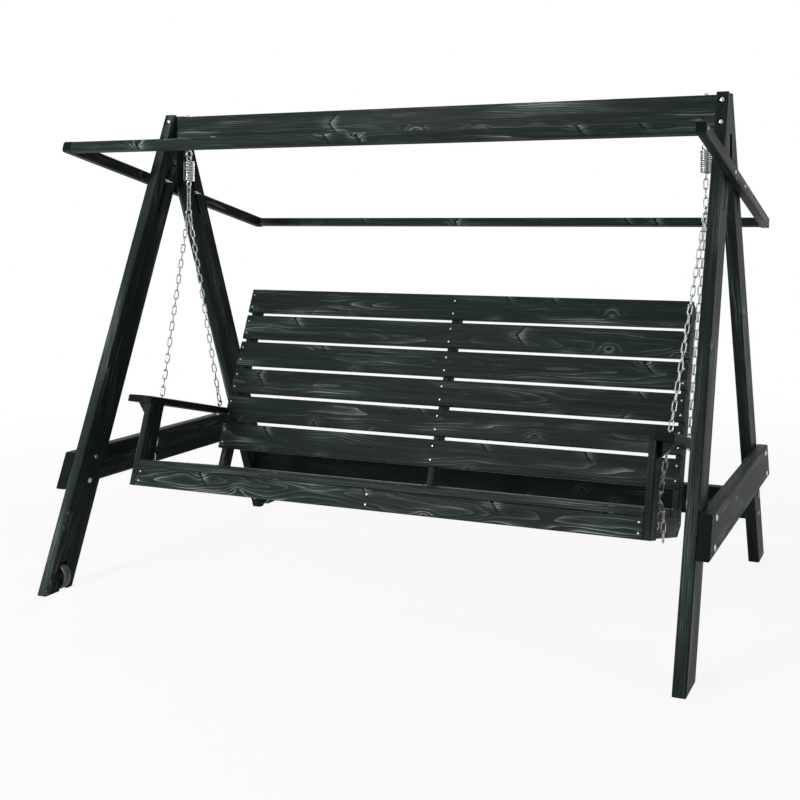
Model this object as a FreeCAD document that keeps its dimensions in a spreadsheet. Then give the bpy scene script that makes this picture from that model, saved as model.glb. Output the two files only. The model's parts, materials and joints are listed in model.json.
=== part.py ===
import FreeCAD, Part
import math
import os
import re

import Sketcher

# Garden swing with a wooden stand, a tilting canopy frame and a bench on chains and springs.
# X runs along the ridge beam, Y to the rear, Z up. The origin is on the ground under the beam.

# Driving dimensions, in millimetres, with angles in degrees
sizes = {
    # Stand
    "stand_wide": 2540,
    "stand_high": 1900,
    "stand_deep": 1400,
    "timber_thick": 45,
    "leg_wide": 120,
    "leg_top": 20,
    "leg_rise": 8,
    "beam_tall": 145,
    "stretcher_tall": 135,
    "stretcher_low": 370,
    "tie_tall": 120,
    "tie_low": 190,
    "timber_chamfer": 4,
    # Bolts of the stand
    "bolt_thick": 10,
    "bolt_head_wide": 19,
    "bolt_head_tall": 6.5,
    "bolt_nut_tall": 8,
    "bolt_end": 2,
    "hole_play": 0.2,
    "counterbore_wide": 25,
    "ridge_bolt_upper_drop": 30,
    "ridge_bolt_gap": 83,
    "ridge_upper_seat": 20,
    "ridge_lower_seat": 42,
    "stretcher_bolt_gap": 87,
    "tie_screw_thick": 8,
    "tie_screw_long": 110,
    "tie_screw_head": 15,
    "tie_screw_head_tall": 4,
    "tie_screw_gap": 70,
    # Wheels in the feet of the left legs
    "wheel_wide": 100,
    "wheel_thick": 30,
    "wheel_ground_gap": 1,
    "wheel_side_gap": 2.5,
    "wheel_top_gap": 6,
    "wheel_hub_wide": 34,
    "wheel_rim": 9,
    "wheel_web_thick": 12,
    "wheel_round": 3,
    "axle_thick": 10,
    "axle_play": 0.08,
    "axle_head_wide": 17,
    "axle_head_tall": 6,
    "axle_seat": 9,
    "axle_recess_wide": 22,
    "axle_blind": 28,
    # Canopy frame
    "canopy_side_play": 0.3,
    "canopy_arm_thick": 34,
    "canopy_arm_tall": 45,
    "canopy_front_reach": 495,
    "canopy_rear_reach": 755,
    "canopy_tilt_angle": 14.25,
    "canopy_bolt_gap": 186,
    "canopy_front_rail_tall": 40,
    "canopy_rear_rail_tall": 36,
    "canopy_rail_inset": 3,
    "canopy_corner_round": 12,
    "canopy_bolt_thick": 8,
    "canopy_bolt_play": 0.1,
    "canopy_rear_ease": 1.1,
    "canopy_head_wide": 18,
    "canopy_head_tall": 5,
    "slot_wide": 11,
    "slot_over_bolt": 49.561,
    "slot_under_bolt": 134.439,
    "wing_hub_wide": 15,
    "wing_hub_tall": 10,
    "wing_reach": 19,
    "wing_tall": 16,
    "wing_thick": 3,
    "corner_screw_thick": 6,
    "corner_screw_long": 80,
    "corner_screw_head": 12,
    "corner_screw_head_tall": 3,
    # Hanger eyes in the beam
    "hanger_inset": 95,
    "eye_wire": 9,
    "eye_ring": 30,
    "eye_neck": 1,
    "eye_shank": 10,
    # Springs
    "spring_wide": 46,
    "spring_wire": 6,
    "spring_hook_wide": 34,
    "spring_shoulder": 13,
    "spring_long": 145,
    "spring_half_turn_count": 24,
    "hook_gap": 0.3,
    # Chains
    "chain_wire": 5,
    "chain_pitch": 35,
    "chain_wide": 20,
    "chain_top_count": 3,
    "tail_count": 3,
    "join_ring": 30,
    "join_wire": 6,
    "join_spread_angle": 30,
    # Bench, in its own frame: origin at the lower front corner of the apron
    "bench_room": 214,
    "bench_front": 435,
    "bench_low": 372,
    "bench_tilt_angle": 15.5,
    "board_thick": 28,
    "slat_thick": 26,
    "slat_wide": 110,
    "slat_gap": 14,
    "board_chamfer": 3,
    "seat_gap": 13,
    "rail_tall": 75,
    "rail_notch": 10,
    "rail_corner": 45,
    "back_low": 176,
    "back_forward": 461,
    "back_lean_angle": 3.7,
    "back_slat_count": 6,
    "support_deep": 55,
    "support_drop": 6,
    "support_slant": 16,
    "post_wide": 80,
    "arm_top": 353,
    "arm_wide": 95,
    "arm_nose": 25,
    "arm_rear": 525,
    "arm_cut": 22,
    "arm_play": 1,
    "bracket_reach": 58,
    "bracket_drop": 62,
    # Eye bolts of the bench
    "bench_eye_wire": 7,
    "bench_eye_ring": 22,
    "bench_eye_neck": 2,
    "bench_eye_shank": 8,
    "bench_nut_wide": 14,
    "bench_nut_tall": 7,
    "front_eye_back": 98,
    "front_eye_up": 47,
    "rear_eye_back": 455,
    "rear_eye_out": 29,
    "chain_hole_wide": 34,
}

# Sizes that follow from the driving ones
derived = {
    "foot_y": "stand_deep / 2",
    "leg_slope": "(foot_y - timber_thick / 2 - leg_top) / stand_high",
    "leg_run": "leg_wide * sqrt(1 + leg_slope ^ 2)",
    "leg_out_x": "stand_wide / 2",
    "leg_mid_x": "(leg_out_x - timber_thick / 2)",
    "leg_in_x": "(leg_out_x - timber_thick)",
    "leg_inner_foot": "(foot_y - leg_run)",
    "leg_fork": "((foot_y - leg_run - timber_thick / 2) / leg_slope)",
    "beam_top": "(stand_high - leg_rise)",
    "beam_low": "(beam_top - beam_tall)",
    "wheel_z": "(wheel_ground_gap + wheel_wide / 2)",
    "wheel_y": "(foot_y - leg_slope * wheel_z - leg_run / 2)",
    "notch_half": "(wheel_thick / 2 + wheel_side_gap)",
    "notch_top": "(wheel_z + wheel_wide / 2 + wheel_top_gap)",
    "bolt_hole": "(bolt_thick / 2 + hole_play)",
    "ridge_upper_z": "(stand_high - ridge_bolt_upper_drop)",
    "ridge_lower_z": "(ridge_upper_z - ridge_bolt_gap)",
    "stretcher_mid": "(stretcher_low + stretcher_tall / 2)",
    "tie_mid": "(tie_low + tie_tall / 2)",
    "tie_y": "(foot_y - leg_slope * tie_mid - leg_run / 2)",
    "bolt_level": "(canopy_bolt_gap * cos(canopy_tilt_angle))",
    "bolt_drop": "(canopy_bolt_gap * sin(canopy_tilt_angle))",
    "bolt_ease": "(canopy_rear_ease * sqrt(1 + leg_slope ^ 2))",
    "bolt_spread": "(2 * foot_y - leg_run - bolt_level + leg_slope * bolt_drop + bolt_ease)",
    "front_bolt_z": "(bolt_spread / (2 * leg_slope))",
    "front_bolt_y": "(leg_slope * front_bolt_z + leg_run / 2 - foot_y)",
    "slot_top": "(front_bolt_z + slot_over_bolt)",
    "slot_low": "(front_bolt_z - slot_under_bolt)",
    "arm_in_x": "(leg_out_x + canopy_side_play)",
    "arm_mid_x": "(arm_in_x + canopy_arm_thick / 2)",
    "arm_out_x": "(arm_in_x + canopy_arm_thick)",
    "hanger_x": "(stand_wide / 2 - hanger_inset)",
    "eye_z": "(beam_low - eye_neck - eye_ring / 2 - eye_wire / 2)",
    "hook_top": "(eye_z - eye_ring / 2 + eye_wire / 2 + spring_wire / 2 + hook_gap)",
    "bench_wide": "(stand_wide - 2 * bench_room)",
    "side_x": "(bench_wide / 2)",
    "slat_low": "rail_tall",
    "slat_top": "(rail_tall + slat_thick)",
    "slat_step": "(slat_wide + slat_gap)",
    "back_up": "(back_slat_count * slat_step - slat_gap)",
    "arm_low": "(arm_top - board_thick)",
    "post_mid_x": "(side_x + board_thick / 2)",
    "arm_rest_in_x": "(side_x + arm_play)",
    "arm_rest_mid_x": "(arm_rest_in_x + arm_wide / 2)",
}

doc = FreeCAD.newDocument("garden_swing")
sheet = doc.addObject("Spreadsheet::Sheet", "sizes")
for row, (alias, value) in enumerate(sizes.items(), start=1):
    sheet.set(f"A{row}", alias)
    sheet.set(f"B{row}", str(value))
    sheet.setAlias(f"B{row}", alias)
doc.recompute()

DERIVED_WORDS = re.compile(r"\b(" + "|".join(derived) + r")\b")
SIZE_WORDS = re.compile(r"\b(" + "|".join(sizes) + r")\b")
ALONG_X = FreeCAD.Vector(1, 0, 0)
ALONG_Y = FreeCAD.Vector(0, 1, 0)
ALONG_Z = FreeCAD.Vector(0, 0, 1)
SIDES = (("left", -1), ("right", 1))
ENDS = (("front", -1), ("rear", 1))
LONG_EDGE_SHARE = 0.55
WIRE_SIDE_COUNT = 4
SHANK_SIDE_COUNT = 8
nodes = {}


def bind(text):
    """Spell a sum of size names as an expression on the sheet."""
    text = str(text)
    while DERIVED_WORDS.search(text):
        text = DERIVED_WORDS.sub(lambda word: "(" + derived[word.group(1)] + ")", text)
    return SIZE_WORDS.sub(r"sizes.\1", text)


def size(text):
    """The value of a sum of size names."""
    return float(sheet.evalExpression(bind(text)))


def point(east, rear, up):
    """A point whose places are sums of size names."""
    return FreeCAD.Vector(size(east), size(rear), size(up))


def keep(name, item, placement=None):
    """Count an object as a piece of the swing, under its own label."""
    item.Label = name
    if placement is not None:
        item.Placement = placement
    nodes[name] = item
    return item


def outline_sketch(body, name, plane, middle, outline):
    """A closed outline whose corners follow the sheet."""
    sketch = body.newObject("Sketcher::SketchObject", name)
    support = [item for item in body.Origin.OriginFeatures if item.Role == plane][0]
    sketch.AttachmentSupport = [(support, "")]
    sketch.MapMode = "FlatFace"
    sketch.setExpression("AttachmentOffset.Base.z", bind(middle))
    corners = [FreeCAD.Vector(size(across), size(up), 0) for across, up in outline]
    count = len(corners)
    for index, corner in enumerate(corners):
        sketch.addGeometry(Part.LineSegment(corner, corners[(index + 1) % count]), False)
    for index in range(count):
        sketch.addConstraint(Sketcher.Constraint("Coincident", index, 2, (index + 1) % count, 1))
    for index, (across, up) in enumerate(outline):
        for kind, text, value in (
            ("DistanceX", across, corners[index].x),
            ("DistanceY", up, corners[index].y),
        ):
            number = sketch.addConstraint(Sketcher.Constraint(kind, -1, 1, index, 1, value))
            sketch.setExpression(f"Constraints[{number}]", bind(text))
    return sketch


def board(name, outline, thick, middle="0", chamfer="board_chamfer", plane="YZ_Plane"):
    """A sawn board: an outline, its thickness and chamfered long edges."""
    body = doc.addObject("PartDesign::Body", name + "_board")
    sketch = outline_sketch(body, name + "_outline", plane, middle, outline)
    pad = body.newObject("PartDesign::Pad", name + "_pad")
    pad.Profile = sketch
    pad.Midplane = True
    pad.setExpression("Length", bind(thick))
    doc.recompute()
    if chamfer:
        longest = max(edge.Length for edge in pad.Shape.Edges)
        edges = [
            f"Edge{index}"
            for index, edge in enumerate(pad.Shape.Edges, start=1)
            if edge.Length > longest * LONG_EDGE_SHARE
        ]
        bevel = body.newObject("PartDesign::Chamfer", name + "_chamfer")
        bevel.Base = (pad, edges)
        bevel.setExpression("Size", bind(chamfer))
        doc.recompute()
    return body


def slot_pocket(body, name, upper, lower, radius):
    """Cut a round-ended slot right through a board."""
    sketch = body.newObject("Sketcher::SketchObject", name + "_outline")
    support = [item for item in body.Origin.OriginFeatures if item.Role == "YZ_Plane"][0]
    sketch.AttachmentSupport = [(support, "")]
    sketch.MapMode = "FlatFace"
    top = FreeCAD.Vector(size(upper[0]), size(upper[1]), 0)
    low = FreeCAD.Vector(size(lower[0]), size(lower[1]), 0)
    reach = size(radius)
    along = (top - low).normalize()
    turn = math.atan2(along.y, along.x)
    side = FreeCAD.Vector(-along.y, along.x, 0) * reach
    quarter = math.pi / 2
    cap = Part.Circle(top, ALONG_Z, reach)
    foot = Part.Circle(low, ALONG_Z, reach)
    sketch.addGeometry(Part.ArcOfCircle(cap, turn - quarter, turn + quarter), False)
    sketch.addGeometry(Part.LineSegment(top + side, low + side), False)
    sketch.addGeometry(Part.ArcOfCircle(foot, turn + quarter, turn + 3 * quarter), False)
    sketch.addGeometry(Part.LineSegment(low - side, top - side), False)
    sketch.addConstraint(Sketcher.Constraint("Tangent", 0, 2, 1, 1))
    sketch.addConstraint(Sketcher.Constraint("Tangent", 1, 2, 2, 1))
    sketch.addConstraint(Sketcher.Constraint("Tangent", 2, 2, 3, 1))
    sketch.addConstraint(Sketcher.Constraint("Tangent", 3, 2, 0, 1))
    for curve, centre, texts in ((0, top, upper), (2, low, lower)):
        for kind, text, value in (
            ("DistanceX", texts[0], centre.x),
            ("DistanceY", texts[1], centre.y),
        ):
            number = sketch.addConstraint(Sketcher.Constraint(kind, -1, 1, curve, 3, value))
            sketch.setExpression(f"Constraints[{number}]", bind(text))
    number = sketch.addConstraint(Sketcher.Constraint("Radius", 0, reach))
    sketch.setExpression(f"Constraints[{number}]", bind(radius))
    cut = body.newObject("PartDesign::Pocket", name)
    cut.Profile = sketch
    cut.Midplane = True
    cut.Type = "ThroughAll"
    before = body.Shape.Volume
    doc.recompute()
    if not body.Shape.Volume < before:
        raise ValueError(name + " cuts nothing")
    return cut


def rod(name, start, way, radius, length):
    """A straight rod with flats, used to drill a hole that a shank fills."""
    item = doc.addObject("Part::Prism", name)
    item.Polygon = SHANK_SIDE_COUNT
    item.setExpression("Circumradius", bind(f"({radius}) / cos(180 / {SHANK_SIDE_COUNT})"))
    return bored(item, start, way, length)


def round_rod(name, start, way, radius, length):
    """A straight round rod, used to drill a hole that stays open to view."""
    item = doc.addObject("Part::Cylinder", name)
    item.setExpression("Radius", bind(radius))
    return bored(item, start, way, length)


def bored(item, start, way, length):
    """Give a rod its length and its place."""
    item.setExpression("Height", bind(length))
    item.Placement = FreeCAD.Placement(point(*start), FreeCAD.Rotation(ALONG_Z, way))
    for axis, text in zip("xyz", start):
        item.setExpression(f"Placement.Base.{axis}", bind(text))
    return item


def drilled(name, base, tools):
    """A piece with its holes drilled."""
    group = doc.addObject("Part::Compound", name + "_holes")
    group.Links = tools
    cut = doc.addObject("Part::Cut", name + "_drilled")
    cut.Base = base
    cut.Tool = group
    doc.recompute()
    if not cut.Shape.Volume < base.Shape.Volume:
        raise ValueError(name + " is not drilled")
    return cut


def prism(start, way, across_flats, tall, sides=6):
    """A straight prism with a regular outline."""
    turn = FreeCAD.Rotation(ALONG_Z, way)
    reach = across_flats / 2 / math.cos(math.pi / sides)
    corners = []
    for index in range(sides):
        angle = 2 * math.pi * index / sides
        corners.append(start + turn.multVec(FreeCAD.Vector(math.cos(angle), math.sin(angle), 0) * reach))
    return Part.Face(Part.makePolygon(corners + corners[:1])).extrude(way * tall)


def stem(seat, way, length, thick):
    """The shank of a bolt or screw, as a prism with few sides."""
    return prism(seat, way, thick * math.cos(math.pi / SHANK_SIDE_COUNT), length, SHANK_SIDE_COUNT)


def bolt(seat, way, length, thick, head_wide, head_tall):
    """A hexagon bolt whose head seats at one point and whose shank runs along a direction."""
    head = prism(seat, way * -1, head_wide, head_tall)
    shank = stem(seat, way, length, thick)
    return head.fuse(shank).removeSplitter()


def nut(seat, way, thick, wide, tall, play):
    """A hexagon nut on a bolt, seated at one point."""
    hole = prism(seat, way, thick + 2 * play, tall, SHANK_SIDE_COUNT)
    return prism(seat, way, wide, tall).cut(hole)


def group(name, solids, placement=None):
    """Equal pieces that share one name."""
    item = doc.addObject("Part::Feature", name)
    item.Shape = Part.makeCompound(solids) if len(solids) > 1 else solids[0]
    return keep(name, item, placement)


def wire_loop(points, normal, radius, sides):
    """A closed loop of bent wire through points in one plane, with flats for its section."""
    rings = []
    section = []
    for index in range(sides):
        angle = 2 * math.pi * index / sides
        section.append((radius * math.cos(angle), radius * math.sin(angle)))
    count = len(points)
    for index in range(count):
        before = (points[index] - points[index - 1]).normalize()
        after = (points[(index + 1) % count] - points[index]).normalize()
        side_before = before.cross(normal)
        mitre = (side_before + after.cross(normal)).normalize()
        mitre = mitre * (1 / mitre.dot(side_before))
        rings.append([points[index] + mitre * out + normal * up for out, up in section])
    faces = []
    for index in range(count):
        here = rings[index]
        there = rings[(index + 1) % count]
        for step in range(sides):
            along = (step + 1) % sides
            corners = [here[step], there[step], there[along], here[along]]
            faces.append(Part.Face(Part.makePolygon(corners + corners[:1])))
    solid = Part.makeSolid(Part.makeShell(faces))
    if solid.Volume < 0:
        solid.reverse()
    return solid


def ring_points(centre, first, second, radius, count):
    """Corners about a circle in the plane of two directions."""
    points = []
    corner = radius / math.cos(math.pi / count)
    for index in range(count):
        angle = 2 * math.pi * (index + 0.5) / count
        points.append(centre + (first * math.cos(angle) + second * math.sin(angle)) * corner)
    return points


def link(centre, along, across, normal, inner):
    """One chain link: straight sides and bent ends."""
    wire = size("chain_wire")
    bend = (size("chain_wide") - wire) / 2
    far = inner / 2 + wire / 2 - bend
    points = []
    corner = bend / math.cos(math.pi / 8)
    for end in (1, -1):
        for share in (1 / 8, 3 / 8, 5 / 8, 7 / 8):
            angle = math.pi * share
            spot = along * (end * (far + corner * math.sin(angle)))
            points.append(centre + spot + across * (end * corner * math.cos(angle)))
    return wire_loop(points, normal, wire / 2, 4)


def strand(start, finish, first_across, count):
    """A tight chain between two points, each the middle of the wire of an end link."""
    wire = size("chain_wire")
    gap = size("hook_gap")
    along = (finish - start).normalize()
    step = ((finish - start).Length - wire - gap) / count
    inner = step + gap
    other = along.cross(first_across).normalize()
    first = other.cross(along).normalize()
    links = []
    for index in range(count):
        centre = start + along * (wire / 2 + inner / 2 + step * index)
        across, normal = (first, other) if index % 2 == 0 else (other, first)
        links.append(link(centre, along, across, normal, inner))
    return links, along, step


# Legs
for side, east in SIDES:
    for end, rear in ENDS:
        name = f"leg_{end}_{side}"
        outline = [
            (f"{rear} * foot_y", "0"),
            (f"{rear} * (timber_thick / 2 + leg_top)", "stand_high"),
            (f"{rear} * timber_thick / 2", "stand_high"),
            (f"{rear} * timber_thick / 2", "leg_fork"),
            (f"{rear} * leg_inner_foot", "0"),
        ]
        if side == "left":
            outline += [
                (f"{rear} * (wheel_y - notch_half)", "0"),
                (f"{rear} * (wheel_y - notch_half)", "notch_top"),
                (f"{rear} * (wheel_y + notch_half)", "notch_top"),
                (f"{rear} * (wheel_y + notch_half)", "0"),
            ]
        body = board(name, outline, "timber_thick", f"{east} * leg_mid_x", "timber_chamfer")
        slot_pocket(
            body,
            name + "_slot",
            (f"{rear} * (foot_y - leg_slope * slot_top - leg_run / 2)", "slot_top"),
            (f"{rear} * (foot_y - leg_slope * slot_low - leg_run / 2)", "slot_low"),
            "slot_wide / 2",
        )
        tools = []
        across = ALONG_Y * rear
        for spot, seat in (("upper", "ridge_upper_seat"), ("lower", "ridge_lower_seat")):
            start = (f"{east} * leg_mid_x", "0", f"ridge_{spot}_z")
            tools.append(rod(f"{name}_{spot}_hole", start, across, "bolt_hole", "leg_wide"))
            start = (start[0], f"{rear} * (timber_thick / 2 + {seat})", start[2])
            tools.append(
                round_rod(f"{name}_{spot}_recess", start, across, "counterbore_wide / 2", "leg_wide")
            )
        for spot, sign in (("upper", "+"), ("lower", "-")):
            up = f"(stretcher_mid {sign} stretcher_bolt_gap / 2)"
            start = (
                f"{east} * (leg_in_x - timber_thick)",
                f"{rear} * (foot_y - leg_slope * {up} - leg_run / 2)",
                up,
            )
            tools.append(
                rod(f"{name}_side_{spot}_hole", start, ALONG_X * east, "bolt_hole", "leg_wide")
            )
        if end == "rear":
            for spot, sign in (("upper", "+"), ("lower", "-")):
                start = (
                    f"{east} * (leg_in_x - timber_thick)",
                    "tie_y",
                    f"tie_mid {sign} tie_screw_gap / 2",
                )
                tools.append(
                    rod(
                        f"{name}_tie_{spot}_hole",
                        start,
                        ALONG_X * east,
                        "tie_screw_thick / 2 + hole_play",
                        "leg_wide",
                    )
                )
        if side == "left":
            seat = f"{rear} * (wheel_y - leg_run / 2 + axle_seat)"
            start = (f"{east} * leg_mid_x", seat, "wheel_z")
            long = "leg_run / 2 - axle_seat + notch_half + axle_blind + hole_play"
            tools.append(
                rod(name + "_axle_hole", start, across, "axle_thick / 2 + hole_play", long)
            )
            tools.append(
                round_rod(name + "_axle_recess", start, across * -1, "axle_recess_wide / 2", "leg_wide")
            )
        keep(name, drilled(name, body, tools))

# Ridge beam, held between the tops of the front and rear legs
outline = [
    ("-timber_thick / 2", "beam_low"),
    ("timber_thick / 2", "beam_low"),
    ("timber_thick / 2", "beam_top"),
    ("-timber_thick / 2", "beam_top"),
]
body = board("ridge_beam", outline, "stand_wide", "0", "timber_chamfer")
tools = []
for side, east in SIDES:
    for spot in ("upper", "lower"):
        start = (f"{east} * leg_mid_x", "-leg_wide", f"ridge_{spot}_z")
        tools.append(rod(f"beam_{side}_{spot}_hole", start, ALONG_Y, "bolt_hole", "leg_wide * 2"))
    start = (f"{east} * hanger_x", "0", "beam_low - timber_thick")
    tools.append(
        rod(f"beam_{side}_eye_hole", start, ALONG_Z, "eye_shank / 2 + hole_play", "beam_tall * 2")
    )
keep("ridge_beam", drilled("ridge_beam", body, tools))

# Side stretchers on the outer faces of the legs
for side, east in SIDES:
    name = f"side_stretcher_{side}"
    outline = [
        ("-(foot_y - leg_slope * stretcher_low)", "stretcher_low"),
        ("foot_y - leg_slope * stretcher_low", "stretcher_low"),
        ("foot_y - leg_slope * (stretcher_low + stretcher_tall)", "stretcher_low + stretcher_tall"),
        ("-(foot_y - leg_slope * (stretcher_low + stretcher_tall))", "stretcher_low + stretcher_tall"),
    ]
    middle = f"{east} * (leg_out_x + timber_thick / 2)"
    body = board(name, outline, "timber_thick", middle, "timber_chamfer")
    tools = []
    for end, rear in ENDS:
        for spot, sign in (("upper", "+"), ("lower", "-")):
            up = f"(stretcher_mid {sign} stretcher_bolt_gap / 2)"
            start = (f"{east} * leg_in_x", f"{rear} * (foot_y - leg_slope * {up} - leg_run / 2)", up)
            tools.append(
                rod(f"{name}_{end}_{spot}_hole", start, ALONG_X * east, "bolt_hole", "leg_wide")
            )
    keep(name, drilled(name, body, tools))

# Tie between the rear legs
outline = [
    ("tie_y - timber_thick / 2", "tie_low"),
    ("tie_y + timber_thick / 2", "tie_low"),
    ("tie_y + timber_thick / 2", "tie_low + tie_tall"),
    ("tie_y - timber_thick / 2", "tie_low + tie_tall"),
]
body = board("rear_tie", outline, "leg_in_x * 2", "0", "timber_chamfer")
tools = []
for side, east in SIDES:
    for spot, sign in (("upper", "+"), ("lower", "-")):
        start = (f"{east} * leg_out_x", "tie_y", f"tie_mid {sign} tie_screw_gap / 2")
        radius = "tie_screw_thick / 2 + hole_play"
        long = "tie_screw_long + hole_play"
        tools.append(rod(f"tie_{side}_{spot}_hole", start, ALONG_X * -east, radius, long))
keep("rear_tie", drilled("rear_tie", body, tools))

# Bolts and nuts of the stand
bolts = []
nuts = []
thick = size("bolt_thick")
head_wide = size("bolt_head_wide")
head_tall = size("bolt_head_tall")
nut_tall = size("bolt_nut_tall")
play = size("hole_play")
for side, east in SIDES:
    for spot in ("upper", "lower"):
        seat = f"timber_thick / 2 + ridge_{spot}_seat"
        head = point(f"{east} * leg_mid_x", f"-({seat})", f"ridge_{spot}_z")
        tail = point(f"{east} * leg_mid_x", seat, f"ridge_{spot}_z")
        long = (tail - head).Length + nut_tall + size("bolt_end")
        bolts.append(bolt(head, ALONG_Y, long, thick, head_wide, head_tall))
        nuts.append(nut(tail, ALONG_Y, thick, head_wide, nut_tall, play))
group("ridge_bolts", bolts)
stand_nuts = nuts
bolts = []
nuts = []
for side, east in SIDES:
    for end, rear in ENDS:
        for sign in ("+", "-"):
            up = f"(stretcher_mid {sign} stretcher_bolt_gap / 2)"
            along = f"{rear} * (foot_y - leg_slope * {up} - leg_run / 2)"
            head = point(f"{east} * (leg_out_x + timber_thick)", along, up)
            tail = point(f"{east} * leg_in_x", along, up)
            way = ALONG_X * -east
            long = (tail - head).Length + nut_tall + size("bolt_end")
            bolts.append(bolt(head, way, long, thick, head_wide, head_tall))
            nuts.append(nut(tail, way, thick, head_wide, nut_tall, play))
group("stretcher_bolts", bolts)
stand_nuts += nuts
screws = []
for side, east in SIDES:
    for sign in ("+", "-"):
        head = point(f"{east} * leg_out_x", "tie_y", f"tie_mid {sign} tie_screw_gap / 2")
        screws.append(
            bolt(
                head,
                ALONG_X * -east,
                size("tie_screw_long"),
                size("tie_screw_thick"),
                size("tie_screw_head"),
                size("tie_screw_head_tall"),
            )
        )
group("tie_screws", screws)

# Wheels with a hub, a web and a rim, and their axle bolts
for end, rear in ENDS:
    name = f"wheel_{end}"
    body = doc.addObject("PartDesign::Body", name + "_turned")
    half = "wheel_thick / 2"
    web = "wheel_web_thick / 2"
    bore = "axle_thick / 2 + axle_play"
    rim = "wheel_wide / 2 - wheel_rim"
    hub = "wheel_hub_wide / 2"
    outline = [
        (bore, f"-{half}"),
        (hub, f"-{half}"),
        (hub, f"-{web}"),
        (rim, f"-{web}"),
        (rim, f"-{half}"),
        ("wheel_wide / 2 - wheel_round", f"-{half}"),
        ("wheel_wide / 2", f"-({half} - wheel_round)"),
        ("wheel_wide / 2", f"{half} - wheel_round"),
        ("wheel_wide / 2 - wheel_round", half),
        (rim, half),
        (rim, web),
        (hub, web),
        (hub, half),
        (bore, half),
    ]
    sketch = outline_sketch(body, name + "_profile", "XY_Plane", "0", outline)
    turned = body.newObject("PartDesign::Revolution", name + "_revolution")
    turned.Profile = sketch
    turned.ReferenceAxis = (sketch, ["V_Axis"])
    doc.recompute()
    spot = point("-leg_mid_x", f"{rear} * wheel_y", "wheel_z")
    keep(name, body, FreeCAD.Placement(spot, FreeCAD.Rotation()))
axles = []
for end, rear in ENDS:
    seat = point("-leg_mid_x", f"{rear} * (wheel_y - leg_run / 2 + axle_seat)", "wheel_z")
    long = size("leg_run / 2 - axle_seat + notch_half + axle_blind")
    axles.append(
        bolt(
            seat,
            ALONG_Y * rear,
            long,
            size("axle_thick"),
            size("axle_head_wide"),
            size("axle_head_tall"),
        )
    )
group("wheel_axles", axles)

# Canopy frame, drawn level about its front bolts and then tilted. At rest the front bolts lie on
# the middle lines of their slots and the rear bolts a little outside theirs, because tilting the
# frame either way draws them inward.
canopy = FreeCAD.Placement(
    point("0", "front_bolt_y", "front_bolt_z"),
    FreeCAD.Rotation(ALONG_X, -size("canopy_tilt_angle")),
)
for side, east in SIDES:
    name = f"canopy_arm_{side}"
    outline = [
        ("-canopy_front_reach", "-canopy_arm_tall / 2"),
        ("canopy_rear_reach", "-canopy_arm_tall / 2"),
        ("canopy_rear_reach", "canopy_arm_tall / 2"),
        ("-canopy_front_reach", "canopy_arm_tall / 2"),
    ]
    body = board(name, outline, "canopy_arm_thick", f"{east} * arm_mid_x", "board_chamfer")
    top = body.Tip
    corners = [
        f"Edge{index}"
        for index, edge in enumerate(top.Shape.Edges, start=1)
        if abs(edge.BoundBox.XLength - edge.Length) < edge.Length * 0.01
        and edge.Length > size("canopy_arm_thick / 2")
    ]
    rounded = body.newObject("PartDesign::Fillet", name + "_round")
    rounded.Base = (top, corners)
    rounded.setExpression("Radius", bind("canopy_corner_round"))
    doc.recompute()
    tools = []
    for end, along in (("front", "0"), ("rear", "canopy_bolt_gap")):
        start = (f"{east} * leg_in_x", along, "0")
        radius = "canopy_bolt_thick / 2 + canopy_bolt_play"
        tools.append(rod(f"{name}_{end}_hole", start, ALONG_X * east, radius, "leg_wide"))
        start = (f"{east} * (arm_out_x - canopy_head_tall)", along, "0")
        radius = "canopy_head_wide / 2 + hole_play"
        tools.append(round_rod(f"{name}_{end}_recess", start, ALONG_X * east, radius, "leg_wide"))
    for end, along in (
        ("nose", "-(canopy_front_reach - canopy_rail_inset - canopy_arm_thick / 2)"),
        ("tail", "canopy_rear_reach - canopy_rail_inset - canopy_arm_thick / 2"),
    ):
        start = (f"{east} * arm_out_x", along, "0")
        radius = "corner_screw_thick / 2 + hole_play"
        tools.append(rod(f"{name}_{end}_hole", start, ALONG_X * -east, radius, "leg_wide"))
    keep(name, drilled(name, body, tools), canopy)
for name, along, tall in (
    (
        "canopy_front_rail",
        "-(canopy_front_reach - canopy_rail_inset - canopy_arm_thick / 2)",
        "canopy_front_rail_tall",
    ),
    (
        "canopy_rear_rail",
        "(canopy_rear_reach - canopy_rail_inset - canopy_arm_thick / 2)",
        "canopy_rear_rail_tall",
    ),
):
    outline = [
        (f"{along} - canopy_arm_thick / 2", f"-{tall} / 2"),
        (f"{along} + canopy_arm_thick / 2", f"-{tall} / 2"),
        (f"{along} + canopy_arm_thick / 2", f"{tall} / 2"),
        (f"{along} - canopy_arm_thick / 2", f"{tall} / 2"),
    ]
    body = board(name, outline, "arm_in_x * 2")
    tools = []
    for side, east in SIDES:
        start = (f"{east} * arm_out_x", along, "0")
        radius = "corner_screw_thick / 2 + hole_play"
        long = "corner_screw_long + hole_play"
        tools.append(rod(f"{name}_{side}_hole", start, ALONG_X * -east, radius, long))
    keep(name, drilled(name, body, tools), canopy)
screws = []
for side, east in SIDES:
    for along in (
        "-(canopy_front_reach - canopy_rail_inset - canopy_arm_thick / 2)",
        "canopy_rear_reach - canopy_rail_inset - canopy_arm_thick / 2",
    ):
        seat = point(f"{east} * arm_out_x", along, "0")
        long = size("corner_screw_long")
        head = prism(seat, ALONG_X * east, size("corner_screw_head"), size("corner_screw_head_tall"))
        shank = stem(seat, ALONG_X * -east, long, size("corner_screw_thick"))
        screws.append(head.fuse(shank).removeSplitter())
group("canopy_screws", screws, canopy)
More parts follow.
